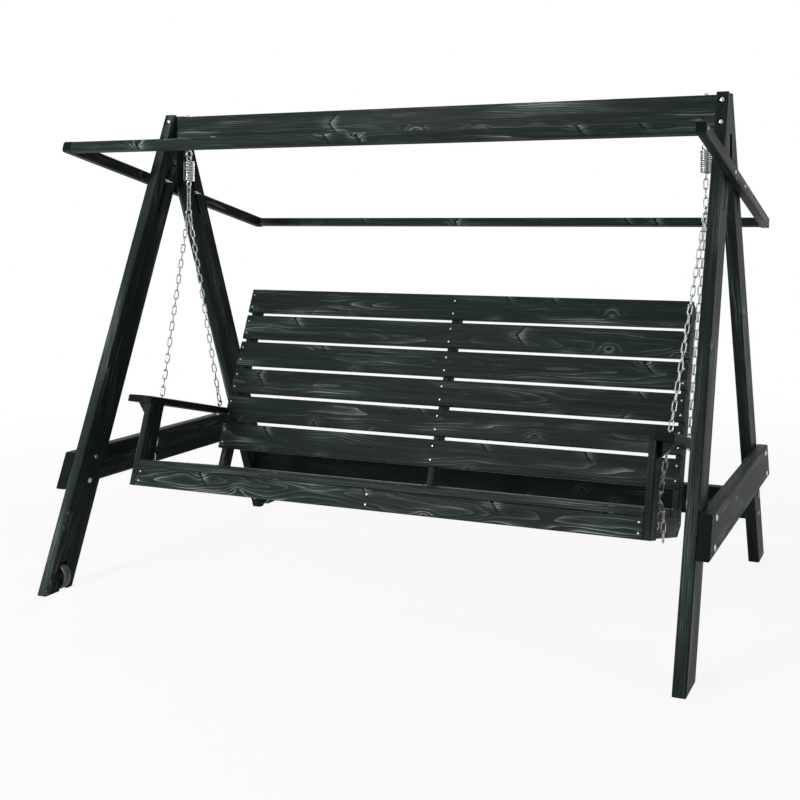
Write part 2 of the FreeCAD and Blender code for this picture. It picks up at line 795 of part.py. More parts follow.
for end, along in (("front", "0"), ("rear", "canopy_bolt_gap")):
    bolts = []
    wings = []
    for side, east in SIDES:
        way = ALONG_X * -east
        thick = size("canopy_bolt_thick")
        head = point(f"{east} * (arm_out_x - canopy_head_tall)", along, "0")
        tail = point(f"{east} * (leg_in_x - canopy_side_play)", along, "0")
        long = (tail - head).Length + size("wing_hub_tall + bolt_end")
        dome = Part.makeCylinder(size("canopy_head_wide / 2"), size("canopy_head_tall"), head, way * -1)
        shank = stem(head, way, long, thick)
        bolts.append(dome.fuse(shank).removeSplitter())
        hub = prism(tail, way, size("wing_hub_wide"), size("wing_hub_tall"), 8)
        blade = [
            FreeCAD.Vector(0, size("wing_hub_wide / 3"), 0),
            FreeCAD.Vector(0, size("wing_reach"), size("wing_hub_tall * 0.4")),
            FreeCAD.Vector(0, size("wing_reach"), size("wing_tall")),
            FreeCAD.Vector(0, size("wing_hub_wide / 2"), size("wing_hub_tall * 0.8")),
            FreeCAD.Vector(0, size("wing_hub_wide / 3"), size("wing_hub_tall * 0.8")),
        ]
        for turn in (1, -1):
            corners = []
            for place in blade:
                rise = way * place.z
                corners.append(tail + rise + FreeCAD.Vector(0, place.y * turn, size("-wing_thick / 2")))
            face = Part.Face(Part.makePolygon(corners + corners[:1]))
            hub = hub.fuse(face.extrude(ALONG_Z * size("wing_thick")))
        wide = thick + 2 * size("canopy_bolt_play")
        hole = prism(tail, way, wide, size("wing_tall"), SHANK_SIDE_COUNT)
        wings.append(hub.removeSplitter().cut(hole))
    group(f"canopy_{end}_bolts", bolts, canopy)
    group(f"canopy_{end}_wing_nuts", wings, canopy)

# Hanger eyes with nuts on the beam
eyes = []
nuts = []
for side, east in SIDES:
    centre = point(f"{east} * hanger_x", "0", "eye_z")
    points = ring_points(centre, ALONG_Y, ALONG_Z, size("eye_ring / 2"), 12)
    ring = wire_loop(points, ALONG_X, size("eye_wire / 2"), 6)
    foot = centre + ALONG_Z * size("eye_ring / 2")
    top = point(f"{east} * hanger_x", "0", "beam_top + bolt_nut_tall + bolt_end")
    shank = stem(foot, ALONG_Z, (top - foot).Length, size("eye_shank"))
    eyes.append(ring.fuse(shank).removeSplitter())
    seat = point(f"{east} * hanger_x", "0", "beam_top")
    nuts.append(nut(seat, ALONG_Z, size("eye_shank"), head_wide, nut_tall, play))
group("hanger_eyes", eyes)
group("stand_nuts", stand_nuts + nuts)


def biarc(start, start_way, finish, finish_way):
    """Two arcs that join two points smoothly, with the direction at each."""
    chord = finish - start
    ways = start_way + finish_way
    spread = 2 * (1 - start_way.dot(finish_way))
    if spread < 1e-9:
        reach = chord.dot(chord) / (4 * chord.dot(start_way))
    else:
        root = math.sqrt(chord.dot(ways) ** 2 + spread * chord.dot(chord))
        reach = (root - chord.dot(ways)) / spread
    near = start + start_way * reach
    far = finish - finish_way * reach
    joint = (near + far) * 0.5
    edges = []
    radii = []
    for first, corner, last in ((start, near, joint), (joint, far, finish)):
        middle = (first + last) * 0.5
        half = (last - first).Length / 2
        turn = math.atan2((corner - middle).Length, half)
        if turn < 1e-4:
            edges.append(Part.LineSegment(first, last).toShape())
            continue
        crown = middle + (corner - middle) * (math.tan(turn / 2) / math.tan(turn))
        edges.append(Part.Arc(first, crown, last).toShape())
        radii.append(half / math.sin(turn))
    return edges, radii


# Springs: an open hook, the coils and a second open hook a quarter turn on
coil = size("(spring_wide - spring_wire) / 2")
hook = size("(spring_hook_wide - spring_wire) / 2")
wire = size("spring_wire")
shoulder = size("spring_shoulder")
half_count = int(size("spring_half_turn_count"))
bottom = hook + shoulder
body_long = size("spring_long") - wire - 2 * bottom
quarter = math.pi / 2
total = half_count * math.pi + quarter


def coil_place(angle):
    """A place on the coils, and the direction of the wire there."""
    rise = body_long / total
    place = FreeCAD.Vector(coil * math.cos(angle), coil * math.sin(angle), rise * angle)
    way = FreeCAD.Vector(-coil * math.sin(angle), coil * math.cos(angle), rise)
    return place, way.normalize()


stops = [index * math.pi for index in range(half_count + 1)] + [total]
edges = []
radii = []
for first, last in zip(stops, stops[1:]):
    here, here_way = coil_place(first)
    there, there_way = coil_place(last)
    arcs, bends = biarc(here, here_way, there, there_way)
    edges += arcs
    radii += bends


def hook_path(place, way, axis, inward):
    """From the end of the coils over an open hook to its straight tip."""
    centre = FreeCAD.Vector(0, 0, place.z) + axis * shoulder
    flat = FreeCAD.Vector(place.x, place.y, 0).normalize()
    side = FreeCAD.Vector(way.x, way.y, 0).normalize() * inward
    start = centre + side * hook
    arcs, bends = biarc(place, way * inward, start, axis)
    top = centre + axis * hook
    far = centre - side * hook
    arcs.append(Part.Arc(start, centre + (side + axis).normalize() * hook, top).toShape())
    arcs.append(Part.Arc(top, centre + (axis - side).normalize() * hook, far).toShape())
    bend = math.radians(35)
    tip = centre - side * (hook * math.cos(bend)) - axis * (hook * math.sin(bend))
    crown = centre - side * (hook * math.cos(bend / 2)) - axis * (hook * math.sin(bend / 2))
    arcs.append(Part.Arc(far, crown, tip).toShape())
    tip_way = side * math.sin(bend) - axis * math.cos(bend)
    arcs.append(Part.LineSegment(tip, tip + tip_way * wire).toShape())
    return arcs, bends


start, start_way = coil_place(0)
finish, finish_way = coil_place(total)
upper, upper_bends = hook_path(finish, finish_way, ALONG_Z, 1)
lower, lower_bends = hook_path(start, start_way, ALONG_Z * -1, -1)
edges = lower[::-1] + edges + upper
print("spring bends, least radius", round(min(radii + upper_bends + lower_bends), 2))
path = Part.Wire(Part.__sortEdges__(edges))
ends = [vertex.Point for vertex in path.OrderedVertexes]
first_edge = path.OrderedEdges[0]
first_way = (ends[1] - ends[0]).normalize()
section = prism(ends[0], first_way, wire * math.cos(math.pi / WIRE_SIDE_COUNT), wire, WIRE_SIDE_COUNT)
profile = Part.Wire(
    [edge for edge in section.Edges if abs((edge.CenterOfMass - ends[0]).dot(first_way)) < 1e-6]
)
spring = path.makePipeShell([profile], True, False)
places = path.discretize(Distance=wire / 2)
gap = min(
    (one - other).Length
    for index, one in enumerate(places)
    for other in places[index + 8:]
) - wire
print("spring: least gap of the wire to itself", round(gap, 2))
spring_centre_z = size("hook_top") - bottom
for side, east in SIDES:
    item = doc.addObject("Part::Feature", f"spring_{side}")
    item.Shape = spring
    base = FreeCAD.Vector(size(f"{east} * hanger_x"), 0, spring_centre_z - body_long)
    turn = FreeCAD.Rotation(ALONG_Z, 90 if east > 0 else -90)
    keep(f"spring_{side}", item, FreeCAD.Placement(base, FreeCAD.Rotation(ALONG_Z, 0)))
print("spring top", spring_centre_z + bottom, "low", spring_centre_z - body_long - bottom)

# Bench, drawn level and then tilted back
bench = FreeCAD.Placement(
    FreeCAD.Vector(0, size("-bench_front"), size("bench_low")),
    FreeCAD.Rotation(ALONG_X, -size("bench_tilt_angle")),
)


def rectangle(front, rear, low, high):
    """The four corners of an upright rectangle."""
    return [(front, low), (rear, low), (rear, high), (front, high)]


keep(
    "apron",
    board("apron", rectangle("0", "board_thick", "0", "rail_tall"), "bench_wide"),
    bench,
)


def back_place(up, behind):
    """A place measured up along the back and behind the face of its slats."""
    return (
        f"(back_forward + ({up}) * sin(back_lean_angle) + ({behind}) * cos(back_lean_angle))",
        f"(back_low + ({up}) * cos(back_lean_angle) - ({behind}) * sin(back_lean_angle))",
    )


def support_level(behind, up):
    """How far rearward a line of the back support is at a height."""
    base = back_place("0", behind)
    return f"({base[0]} + ({up} - {base[1]}) * tan(back_lean_angle))"


support_low = "(rail_tall - rail_notch)"
support_front = "slat_thick"
support_rear = "(slat_thick + support_deep)"
for side, east in (("left", -1), ("middle", 0), ("right", 1)):
    middle = f"{east} * (side_x - board_thick / 2)"
    rear_end = support_level(support_rear, support_low)
    outline = [
        ("board_thick", "0"),
        (f"{rear_end} - rail_corner", "0"),
        (rear_end, "rail_corner"),
        (rear_end, support_low),
        (support_level(support_front, support_low), support_low),
        (support_level(support_front, "rail_tall"), "rail_tall"),
        ("board_thick", "rail_tall"),
    ]
    name = f"seat_rail_{side}"
    body = board(name, outline, "board_thick", middle)
    if east:
        start = (f"{east} * side_x", "front_eye_back", "front_eye_up")
        radius = "bench_eye_shank / 2 + hole_play"
        hole = rod(name + "_eye_hole", start, ALONG_X * -east, radius, "board_thick * 2")
        body = drilled(name, body, [hole])
    keep(name, body, bench)
    outline = [
        (support_level(support_front, support_low), support_low),
        (rear_end, support_low),
        back_place("back_up - support_drop - support_slant", support_rear),
        back_place("back_up - support_drop", support_front),
    ]
    name = f"back_support_{side}"
    keep(name, board(name, outline, "board_thick", middle), bench)

for index in range(4):
    front = f"(slat_wide + seat_gap) * {index}"
    name = f"seat_slat_{index + 1}"
    outline = rectangle(front, f"{front} + slat_wide", "slat_low", "slat_top")
    keep(name, board(name, outline, "bench_wide"), bench)
for index in range(int(size("back_slat_count"))):
    up = f"slat_step * {index}"
    outline = [
        back_place(up, "0"),
        back_place(up, "slat_thick"),
        back_place(f"{up} + slat_wide", "slat_thick"),
        back_place(f"{up} + slat_wide", "0"),
    ]
    name = f"back_slat_{index + 1}"
    keep(name, board(name, outline, "bench_wide"), bench)

for side, east in SIDES:
    name = f"arm_post_{side}"
    outline = rectangle("0", "post_wide", "0", "arm_low")
    body = board(name, outline, "board_thick", f"{east} * post_mid_x")
    keep(name, body, bench)
    name = f"armrest_{side}"
    outline = [
        (f"{east} * arm_rest_in_x", "arm_cut - arm_nose"),
        (f"{east} * (arm_rest_in_x + arm_cut)", "-arm_nose"),
        (f"{east} * (arm_rest_in_x + arm_wide)", "-arm_nose"),
        (f"{east} * (arm_rest_in_x + arm_wide)", "arm_rear"),
        (f"{east} * arm_rest_in_x", "arm_rear"),
    ]
    body = board(name, outline, "board_thick", "arm_low + board_thick / 2", plane="XY_Plane")
    nodes[name + "_blank"] = body
    name = f"arm_bracket_{side}"
    outline = [
        (f"{east} * (side_x + board_thick)", "arm_low"),
        (f"{east} * (side_x + board_thick + bracket_reach)", "arm_low"),
        (f"{east} * (side_x + board_thick)", "arm_low - bracket_drop"),
    ]
    body = board(name, outline, "board_thick", "-post_wide / 2", "", plane="XZ_Plane")
    keep(name, body, bench)

# Eye bolts of the bench, in their own directions, and the chains between them and the springs
chain_wire = size("chain_wire")
gap = size("hook_gap")
pitch = size("chain_pitch")
tip = size("hook_top") - size("spring_long") + wire
ring_out = size("join_ring / 2")
ring_wire = size("join_wire / 2")
count = int(size("chain_top_count"))
front_eyes = []
rear_eyes = []
front_nuts = []
rear_nuts = []
rings = []
reach = size("bench_eye_ring / 2")
eye_wire = size("bench_eye_wire / 2")
inside = reach - eye_wire - chain_wire / 2 - gap


def ring_seat(rear):
    """Where a chain hangs inside the joining ring, from the ring's centre."""
    spread = math.radians(size("join_spread_angle"))
    reach = ring_out - ring_wire - chain_wire / 2 - gap
    return FreeCAD.Vector(0, rear * math.sin(spread), -math.cos(spread)) * reach


for side, east in SIDES:
    x = size(f"{east} * hanger_x")
    start = FreeCAD.Vector(x, 0, tip + wire / 2 + chain_wire / 2 + gap)
    finish = start - ALONG_Z * (count * pitch + chain_wire)
    links, along, step = strand(start, finish, ALONG_X, count)
    group(f"chain_top_{side}", links)
    centre = finish + ALONG_Z * (-ring_out + ring_wire + chain_wire / 2 + gap)
    rings.append(wire_loop(ring_points(centre, ALONG_Y, ALONG_Z, ring_out, 12), ALONG_X, ring_wire, 6))
    face = bench.multVec(point(f"{east} * side_x", "front_eye_back", "front_eye_up"))
    neck = size("bench_eye_neck") + eye_wire + reach
    front_eye = face + ALONG_X * (east * neck)
    start = centre + ring_seat(-1)
    along = (front_eye - start).normalize()
    finish = front_eye - along * inside
    number = 2 * round((finish - start).Length / pitch / 2)
    links, along, step = strand(start, finish, ALONG_X, number)
    print(side, "front chain", number, "links, pitch", round(step, 2))
    # The spare links hang from the same eye
    hang = front_eye + along * reach + ALONG_Z * (eye_wire + chain_wire / 2 + gap)
    spare = size("tail_count") * pitch + chain_wire
    tail, down, step = strand(hang, hang - ALONG_Z * spare, ALONG_Y, int(size("tail_count")))
    group(f"chain_front_{side}", links + tail)
    front_line = (start, along)
    across = along.cross(ALONG_X).normalize()
    flat = across.cross(along).normalize()
    points = ring_points(front_eye, along, flat, reach, 12)
    eye = wire_loop(points, across, eye_wire, 6)
    foot = front_eye - ALONG_X * (east * reach)
    long = size("bench_eye_neck + board_thick + bench_nut_tall + bolt_end") + eye_wire
    shank = stem(foot, ALONG_X * -east, long, size("bench_eye_shank"))
    front_eyes.append(eye.fuse(shank).removeSplitter())
    seat = face - ALONG_X * (east * size("board_thick"))
    nut_sizes = (size("bench_eye_shank"), size("bench_nut_wide"), size("bench_nut_tall"), play)
    front_nuts.append(nut(seat, ALONG_X * -east, *nut_sizes))
    upward = bench.Rotation.multVec(ALONG_Z)
    face = bench.multVec(point(f"{east} * (side_x + rear_eye_out)", "rear_eye_back", "arm_top"))
    rear_eye = face + upward * neck
    start = centre + ring_seat(1)
    along = (rear_eye - start).normalize()
    finish = rear_eye - along * inside
    number = 2 * round(((finish - start).Length / pitch - 1) / 2) + 1
    links, along, step = strand(start, finish, ALONG_X, number)
    print(side, "rear chain", number, "links, pitch", round(step, 2))
    group(f"chain_rear_{side}", links)
    first = ALONG_X.cross(along).normalize()
    points = ring_points(rear_eye, first, ALONG_X.cross(first), reach, 12)
    eye = wire_loop(points, ALONG_X, eye_wire, 6)
    foot = rear_eye - upward * reach
    shank = stem(foot, upward * -1, long, size("bench_eye_shank"))
    rear_eyes.append(eye.fuse(shank).removeSplitter())
    seat = face - upward * size("board_thick")
    rear_nuts.append(nut(seat, upward * -1, *nut_sizes))
    # The hole where the front chain passes the armrest
    start, along = front_line
    top = bench.multVec(point("0", "0", "arm_low + board_thick / 2"))
    share = (top - start).dot(upward) / along.dot(upward)
    crossing = bench.inverse().multVec(start + along * share)
    name = f"armrest_{side}"
    tools = []
    hole = doc.addObject("Part::Cylinder", name + "_chain_hole")
    hole.setExpression("Radius", bind("chain_hole_wide / 2"))
    hole.setExpression("Height", bind("board_thick * 3"))
    base = FreeCAD.Vector(crossing.x, crossing.y, size("arm_low - board_thick"))
    hole.Placement = FreeCAD.Placement(base, FreeCAD.Rotation())
    tools.append(hole)
    start = (f"{east} * (side_x + rear_eye_out)", "rear_eye_back", "arm_low - board_thick")
    radius = "bench_eye_shank / 2 + hole_play"
    tools.append(rod(name + "_eye_hole", start, ALONG_Z, radius, "board_thick * 3"))
    keep(name, drilled(name, nodes.pop(name + "_blank"), tools), bench)
    print(side, "chain passes the armrest at", [round(number, 1) for number in crossing])
group("front_eye_bolts", front_eyes)
group("rear_eye_bolts", rear_eyes)
group("bench_nuts", front_nuts + rear_nuts)
group("joining_rings", rings)

# Checks, then one file for each piece
doc.recompute()
for item in doc.Objects:
    if "Invalid" in item.State or "Error" in item.State:
        raise ValueError(f"{item.Name} did not compute: {item.State}")
for name, item in nodes.items():
    if item.Shape.isNull() or not item.Shape.isValid():
        raise ValueError(name + " has no valid shape")
os.makedirs("parts", exist_ok=True)
for name, item in nodes.items():
    item.Shape.exportStep(f"parts/{name}.step")
print(len(nodes), "pieces")
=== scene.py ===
# %% [markdown]
# # Garden swing in dark stained pine
#
# The real object is a garden bench that hangs on chains and springs under a wooden A-frame, with a
# tilting frame for a canopy above it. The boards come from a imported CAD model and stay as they
# are: each gets its own stained pine. What is bent, wound or turned from steel could stay as the
# plain CAD solids too, but wire looks wrong with flats, so this lesson makes the chains, springs,
# eyes, bolts and screws again in round form, at the places of the solids that they replace.

import json
import math
import random

import bmesh
import bpy
import numpy as np
from mathutils import Matrix, Vector

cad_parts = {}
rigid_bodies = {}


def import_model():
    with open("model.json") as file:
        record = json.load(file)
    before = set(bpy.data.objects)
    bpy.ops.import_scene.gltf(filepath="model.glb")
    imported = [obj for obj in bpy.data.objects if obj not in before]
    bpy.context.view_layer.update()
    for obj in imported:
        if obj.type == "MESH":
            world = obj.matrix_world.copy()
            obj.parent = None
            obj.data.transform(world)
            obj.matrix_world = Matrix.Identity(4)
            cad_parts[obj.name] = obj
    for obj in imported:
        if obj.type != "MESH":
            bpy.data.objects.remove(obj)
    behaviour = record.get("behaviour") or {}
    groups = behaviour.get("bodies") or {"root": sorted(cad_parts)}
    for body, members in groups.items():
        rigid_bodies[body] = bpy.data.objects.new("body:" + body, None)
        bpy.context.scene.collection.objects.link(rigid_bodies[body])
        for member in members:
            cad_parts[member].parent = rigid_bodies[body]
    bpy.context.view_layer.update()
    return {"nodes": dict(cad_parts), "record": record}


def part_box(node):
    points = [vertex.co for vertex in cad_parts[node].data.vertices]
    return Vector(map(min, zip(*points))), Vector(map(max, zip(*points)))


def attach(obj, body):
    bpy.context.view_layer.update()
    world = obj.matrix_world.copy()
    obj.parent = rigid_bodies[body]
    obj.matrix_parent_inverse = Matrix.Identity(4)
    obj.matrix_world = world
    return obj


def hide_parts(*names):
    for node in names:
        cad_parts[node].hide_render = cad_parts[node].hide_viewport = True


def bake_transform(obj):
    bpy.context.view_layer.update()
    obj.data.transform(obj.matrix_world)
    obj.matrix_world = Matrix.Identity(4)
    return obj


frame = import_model()

# %% [markdown]
# ## Colours and nodes
#
# Colours are written as they look on a screen. Shaders calculate with linear light, so one
# function turns the hex digits into linear values. A second one adds a node with its settings and
# its links, so that a material reads as a list of steps. A node can be handed on as it is, and
# then its first output is meant.

# %% Helpers for materials
MM = 0.001
MATH = "ShaderNodeMath"
RANGE = "ShaderNodeMapRange"
NOISE = "ShaderNodeTexNoise"
RAMP = "ShaderNodeValToRGB"
SPLIT = "ShaderNodeSeparateXYZ"
SHADER = "ShaderNodeBsdfPrincipled"
OUTPUT = "ShaderNodeOutputMaterial"


def srgb(text):
    """A colour written as six hex digits, as linear light."""
    values = []
    for index in (0, 2, 4):
        value = int(text[index:index + 2], 16) / 255
        values.append(value / 12.92 if value <= 0.04045 else ((value + 0.055) / 1.055) ** 2.4)
    return (*values, 1.0)


def add(tree, kind, inputs=(), stops=(), **settings):
    """Add a node, set its options and colour stops, and set or link its inputs by name or order."""
    node = tree.nodes.new(kind)
    for key, value in settings.items():
        setattr(node, key, value)
    for key, value in inputs.items() if isinstance(inputs, dict) else enumerate(inputs):
        if isinstance(value, bpy.types.Node):
            value = value.outputs[0]
        if isinstance(value, bpy.types.NodeSocket):
            tree.links.new(value, node.inputs[key])
        else:
            node.inputs[key].default_value = value
    if stops:
        elements = node.color_ramp.elements
        while len(elements) < len(stops):
            elements.new(0.5)
        for element, (position, colour) in zip(elements, stops):
            element.position = position
            element.color = srgb(colour)
    return node


def new_material(name):
    """An empty material and its node tree."""
    material = bpy.data.materials.new(name)
    material.use_nodes = True
    material.node_tree.nodes.clear()
    return material, material.node_tree


print("mid grey 808080 is", round(srgb("808080")[0], 3), "in linear light")

# %% [markdown]
# ## Zinc on steel
#
# Chains, eyes, bolts and screws are mild steel with a galvanised or plated zinc coat. To the eye
# that is a light, slightly bluish grey metal, neither mirror nor chalk: its roughness wanders over
# patches of a few millimetres, where the zinc froze into grains. A noise of that size drives the
# roughness and a faint change of tone, and a finer one gives the skin of the coat.

# %% Zinc and spring wire


def coated_steel(name, dark, pale, low, high):
    """Steel with a zinc coat, between two tones and two values of roughness."""
    material, tree = new_material(name)
    place = add(tree, "ShaderNodeTexCoord").outputs["Object"]
    grains = add(tree, "ShaderNodeTexVoronoi", {"Vector": place, "Scale": 1 / (3 * MM)})
    patches = add(tree, NOISE, {"Vector": place, "Scale": 1 / (9 * MM), "Detail": 3.0})
    mixed = add(tree, MATH, (grains.outputs["Color"], patches), operation="MULTIPLY")
    colour = add(tree, RAMP, (mixed,), [(0.0, dark), (0.6, pale)])
    rough = add(tree, RANGE, (patches, 0.3, 0.7, low, high))
    skin_grain = add(tree, NOISE, {"Vector": place, "Scale": 1 / (1.2 * MM), "Detail": 2.0})
    bump = {"Height": skin_grain, "Strength": 0.15, "Distance": 0.1 * MM}
    normal = add(tree, "ShaderNodeBump", bump)
    look = {"Base Color": colour, "Metallic": 1.0, "Roughness": rough, "Normal": normal}
    add(tree, OUTPUT, {"Surface": add(tree, SHADER, look)})
    return material


zinc = coated_steel("galvanised_steel", "7b8180", "c8cdcc", 0.2, 0.4)
bolt_zinc = coated_steel("plated_bolt_steel", "8b9090", "c9cdcc", 0.2, 0.35)
screw_zinc = coated_steel("dull_screw_plating", "5d6362", "a0a5a3", 0.3, 0.45)
spring_steel = coated_steel("plated_spring_wire", "8b9190", "d2d6d5", 0.18, 0.32)
print("metals:", [item.name for item in bpy.data.materials])

# %% [markdown]
# ## Black plastic
#
# The wheels are injection moulded from black polypropylene. One flat dark colour would do from
# afar, but the mould's spark-eroded skin has a grain of half a millimetre, and rolling scuffs it
# in patches of a few centimetres. Two noises give these.

# %% Black plastic
moulded, tree = new_material("moulded_black_plastic")
place = add(tree, "ShaderNodeTexCoord").outputs["Object"]
grain = add(tree, NOISE, {"Vector": place, "Scale": 1 / (0.5 * MM), "Detail": 1.0})
scuffs = add(tree, NOISE, {"Vector": place, "Scale": 1 / (18 * MM), "Detail": 5.0})
look = {
    "IOR": 1.49,
    "Base Color": add(tree, RAMP, (scuffs,), [(0.35, "1c1f1f"), (0.75, "3a3e3d")]),
    "Roughness": add(tree, RANGE, {"Value": scuffs, "To Min": 0.38, "To Max": 0.6}),
    "Normal": add(tree, "ShaderNodeBump", {"Height": grain, "Strength": 0.2, "Distance": 0.1 * MM}),
}
add(tree, OUTPUT, {"Surface": add(tree, SHADER, look)})
print(moulded.name, "has", len(tree.nodes), "nodes")

# %% [markdown]
# ## Where the boards lie
#
# A tree's growth rings run along a board, so each board's material has to know which way its
# length and its wide face point. The bench and the canopy frame are tilted, and small functions
# give a place on them from plain measures in millimetres.

# %% The tilted frames of the bench and the canopy
SIDE, REAR, UP = Vector((1, 0, 0)), Vector((0, 1, 0)), Vector((0, 0, 1))
BENCH_TILT = math.radians(15.5)
BACK_LEAN = math.radians(3.7)
CANOPY_TILT = math.radians(14.25)
# Rearward and upward from the middle of the ground under the beam, in metres
BENCH_CORNER = (-0.435, 0.372)
CANOPY_PIVOT = (-0.081635, 1.603439)
# The foot of the backrest, on the bench
BACK_FOOT = (461, 176)


def tilted(angle):
    """The rearward and upward directions of a frame that is tilted back."""
    rearward = Vector((0, math.cos(angle), -math.sin(angle)))
    upward = Vector((0, math.sin(angle), math.cos(angle)))
    return rearward, upward


SEAT_REARWARD, SEAT_UPWARD = tilted(BENCH_TILT)
BACK_UP = SEAT_REARWARD * math.sin(BACK_LEAN) + SEAT_UPWARD * math.cos(BACK_LEAN)
BACK_NORMAL = SEAT_REARWARD * math.cos(BACK_LEAN) - SEAT_UPWARD * math.sin(BACK_LEAN)
CANOPY_REARWARD, CANOPY_UPWARD = tilted(CANOPY_TILT)


def on_bench(x, rear, up):
    """A place on the bench, measured from the lower front corner of its front board."""
    return Vector((x * MM, *BENCH_CORNER)) + (SEAT_REARWARD * rear + SEAT_UPWARD * up) * MM


def on_back(x, up, behind):
    """A place on the backrest, measured up along its slats and behind their front face."""
    return on_bench(x, *BACK_FOOT) + (BACK_UP * up + BACK_NORMAL * behind) * MM


def on_canopy(x, rear, up):
    """A place on the canopy frame, measured from its front bolts."""
    pivot = Vector((x * MM, *CANOPY_PIVOT))
    return pivot + (CANOPY_REARWARD * rear + CANOPY_UPWARD * up) * MM


print("foot of the backrest at", [round(value, 3) for value in on_back(0, 0, 0)])

# %% [markdown]
# ## Which way each board runs
#
# Boards are sawn along the trunk, so grain along the wrong direction is what gives a false board
# away. The directions could be guessed from each box, but a tilted board's box is square to the
# ground. A table by the start of the name is short and sure.

# %% Directions of the boards
# The legs lean from the feet, half of 1400 mm apart from the middle, to 20 mm from the beam's 45 mm
LEG_SLOPE = (1400 / 2 - 45 / 2 - 20) / 1900
BOARD_AXES = {
    "leg_front": (Vector((0, LEG_SLOPE, 1)), SIDE),
    "leg_rear": (Vector((0, -LEG_SLOPE, 1)), SIDE),
    "side_stretcher": (REAR, SIDE),
    "canopy_arm": (CANOPY_REARWARD, SIDE),
    "canopy": (SIDE, CANOPY_REARWARD),
    "seat_rail": (SEAT_REARWARD, SIDE),
    "armrest": (SEAT_REARWARD, SEAT_UPWARD),
    "arm_post": (SEAT_UPWARD, SIDE),
    "arm_bracket": (SEAT_UPWARD, SEAT_REARWARD),
    "back_support": (BACK_UP, SIDE),
    "back_slat": (SIDE, BACK_NORMAL),
    "seat_slat": (SIDE, SEAT_UPWARD),
    "apron": (SIDE, SEAT_REARWARD),
}


def board_axes(name):
    """The directions of a board's length and of its wide face."""
    for start, axes in BOARD_AXES.items():
        if name.startswith(start):
            return axes
    return SIDE, REAR


print("legs lean by", round(math.degrees(math.atan(LEG_SLOPE)), 1), "degrees")

# %% [markdown]
# ## Stained pine: the log
#
# The boards are planed pine under a thin black-green stain. The stain sinks into the soft early
# wood and stays thin on the hard late wood, so the growth rings show as paler lines. A stretched
# noise is the usual short cut, but it has no knots and no arches. Here each board is cut out of a
# log that really has rings, whose middle line lies a few centimetres below the wide face. Each
# board draws its own place in the log.

# %% A board in its log


def character(name, seed):
    """What sets a board apart: how bold, how dark and how wavy it is, and its place in the log; the
    rear tie is darkened as painted shade.
    """
    dice = random.Random(seed)
    depth = dice.choice((-1, 1)) * dice.uniform(45, 80) * MM
    # The front board is the one with the boldest arches
    bold = name.endswith("apron")
    figure = 0.2 if bold else dice.uniform(0.03, 0.1)
    # Painted shade: the rear tie stands in shade behind the seat, so it is made darker; the other
    # boards differ a little in tone at random
    tone_and_shade = -0.16 if name.endswith("rear_tie") else dice.uniform(0.0, 0.05)
    swerve = 0.075 if bold else dice.uniform(0.035, 0.06)
    log = Vector((dice.uniform(-9, 9), dice.uniform(-35, 35) * MM, depth))
    return figure, tone_and_shade, swerve, log


def board_space(tree, centre, along, normal, log):
    """A board's coordinates in its log, and how far a face turns to its wide side and to its end."""
    first = along.normalized()
    second = normal.cross(first).normalized()
    lie = Matrix((first, second, first.cross(second)))
    place = add(tree, "ShaderNodeTexCoord")
    mapped = {
        "Vector": place.outputs["Object"],
        "Rotation": lie.to_euler(),
        "Location": log - lie @ centre,
    }
    board = add(tree, "ShaderNodeMapping", mapped)
    facing = []
    for axis in (lie[2], first):
        pair = (place.outputs["Normal"], tuple(axis))
        turned = add(tree, "ShaderNodeVectorMath", pair, operation="DOT_PRODUCT")
        facing.append(add(tree, MATH, (turned.outputs["Value"],), operation="ABSOLUTE"))
    return board, *facing


print("board 0 lies in its log at", [round(value, 3) for value in character("board", 0)[3]])

# %% [markdown]
# ## Stained pine: knots
#
# A knot is the foot of a branch: a dark oval core with a dark rim of bark, and rings that swerve
# round it. Where a pair of branches was cut lengthwise, a dark line bends away to both edges, with
# paler wood beside it. Painting them one by one would give closer copies, but a Voronoi pattern
# scatters them over the board, 15 to 25 mm wide and a little longer than wide, and leaves out
# nearly every second one.

# %% Knots
KNOT_SCALE = (4.0, 7.5, 0.0)


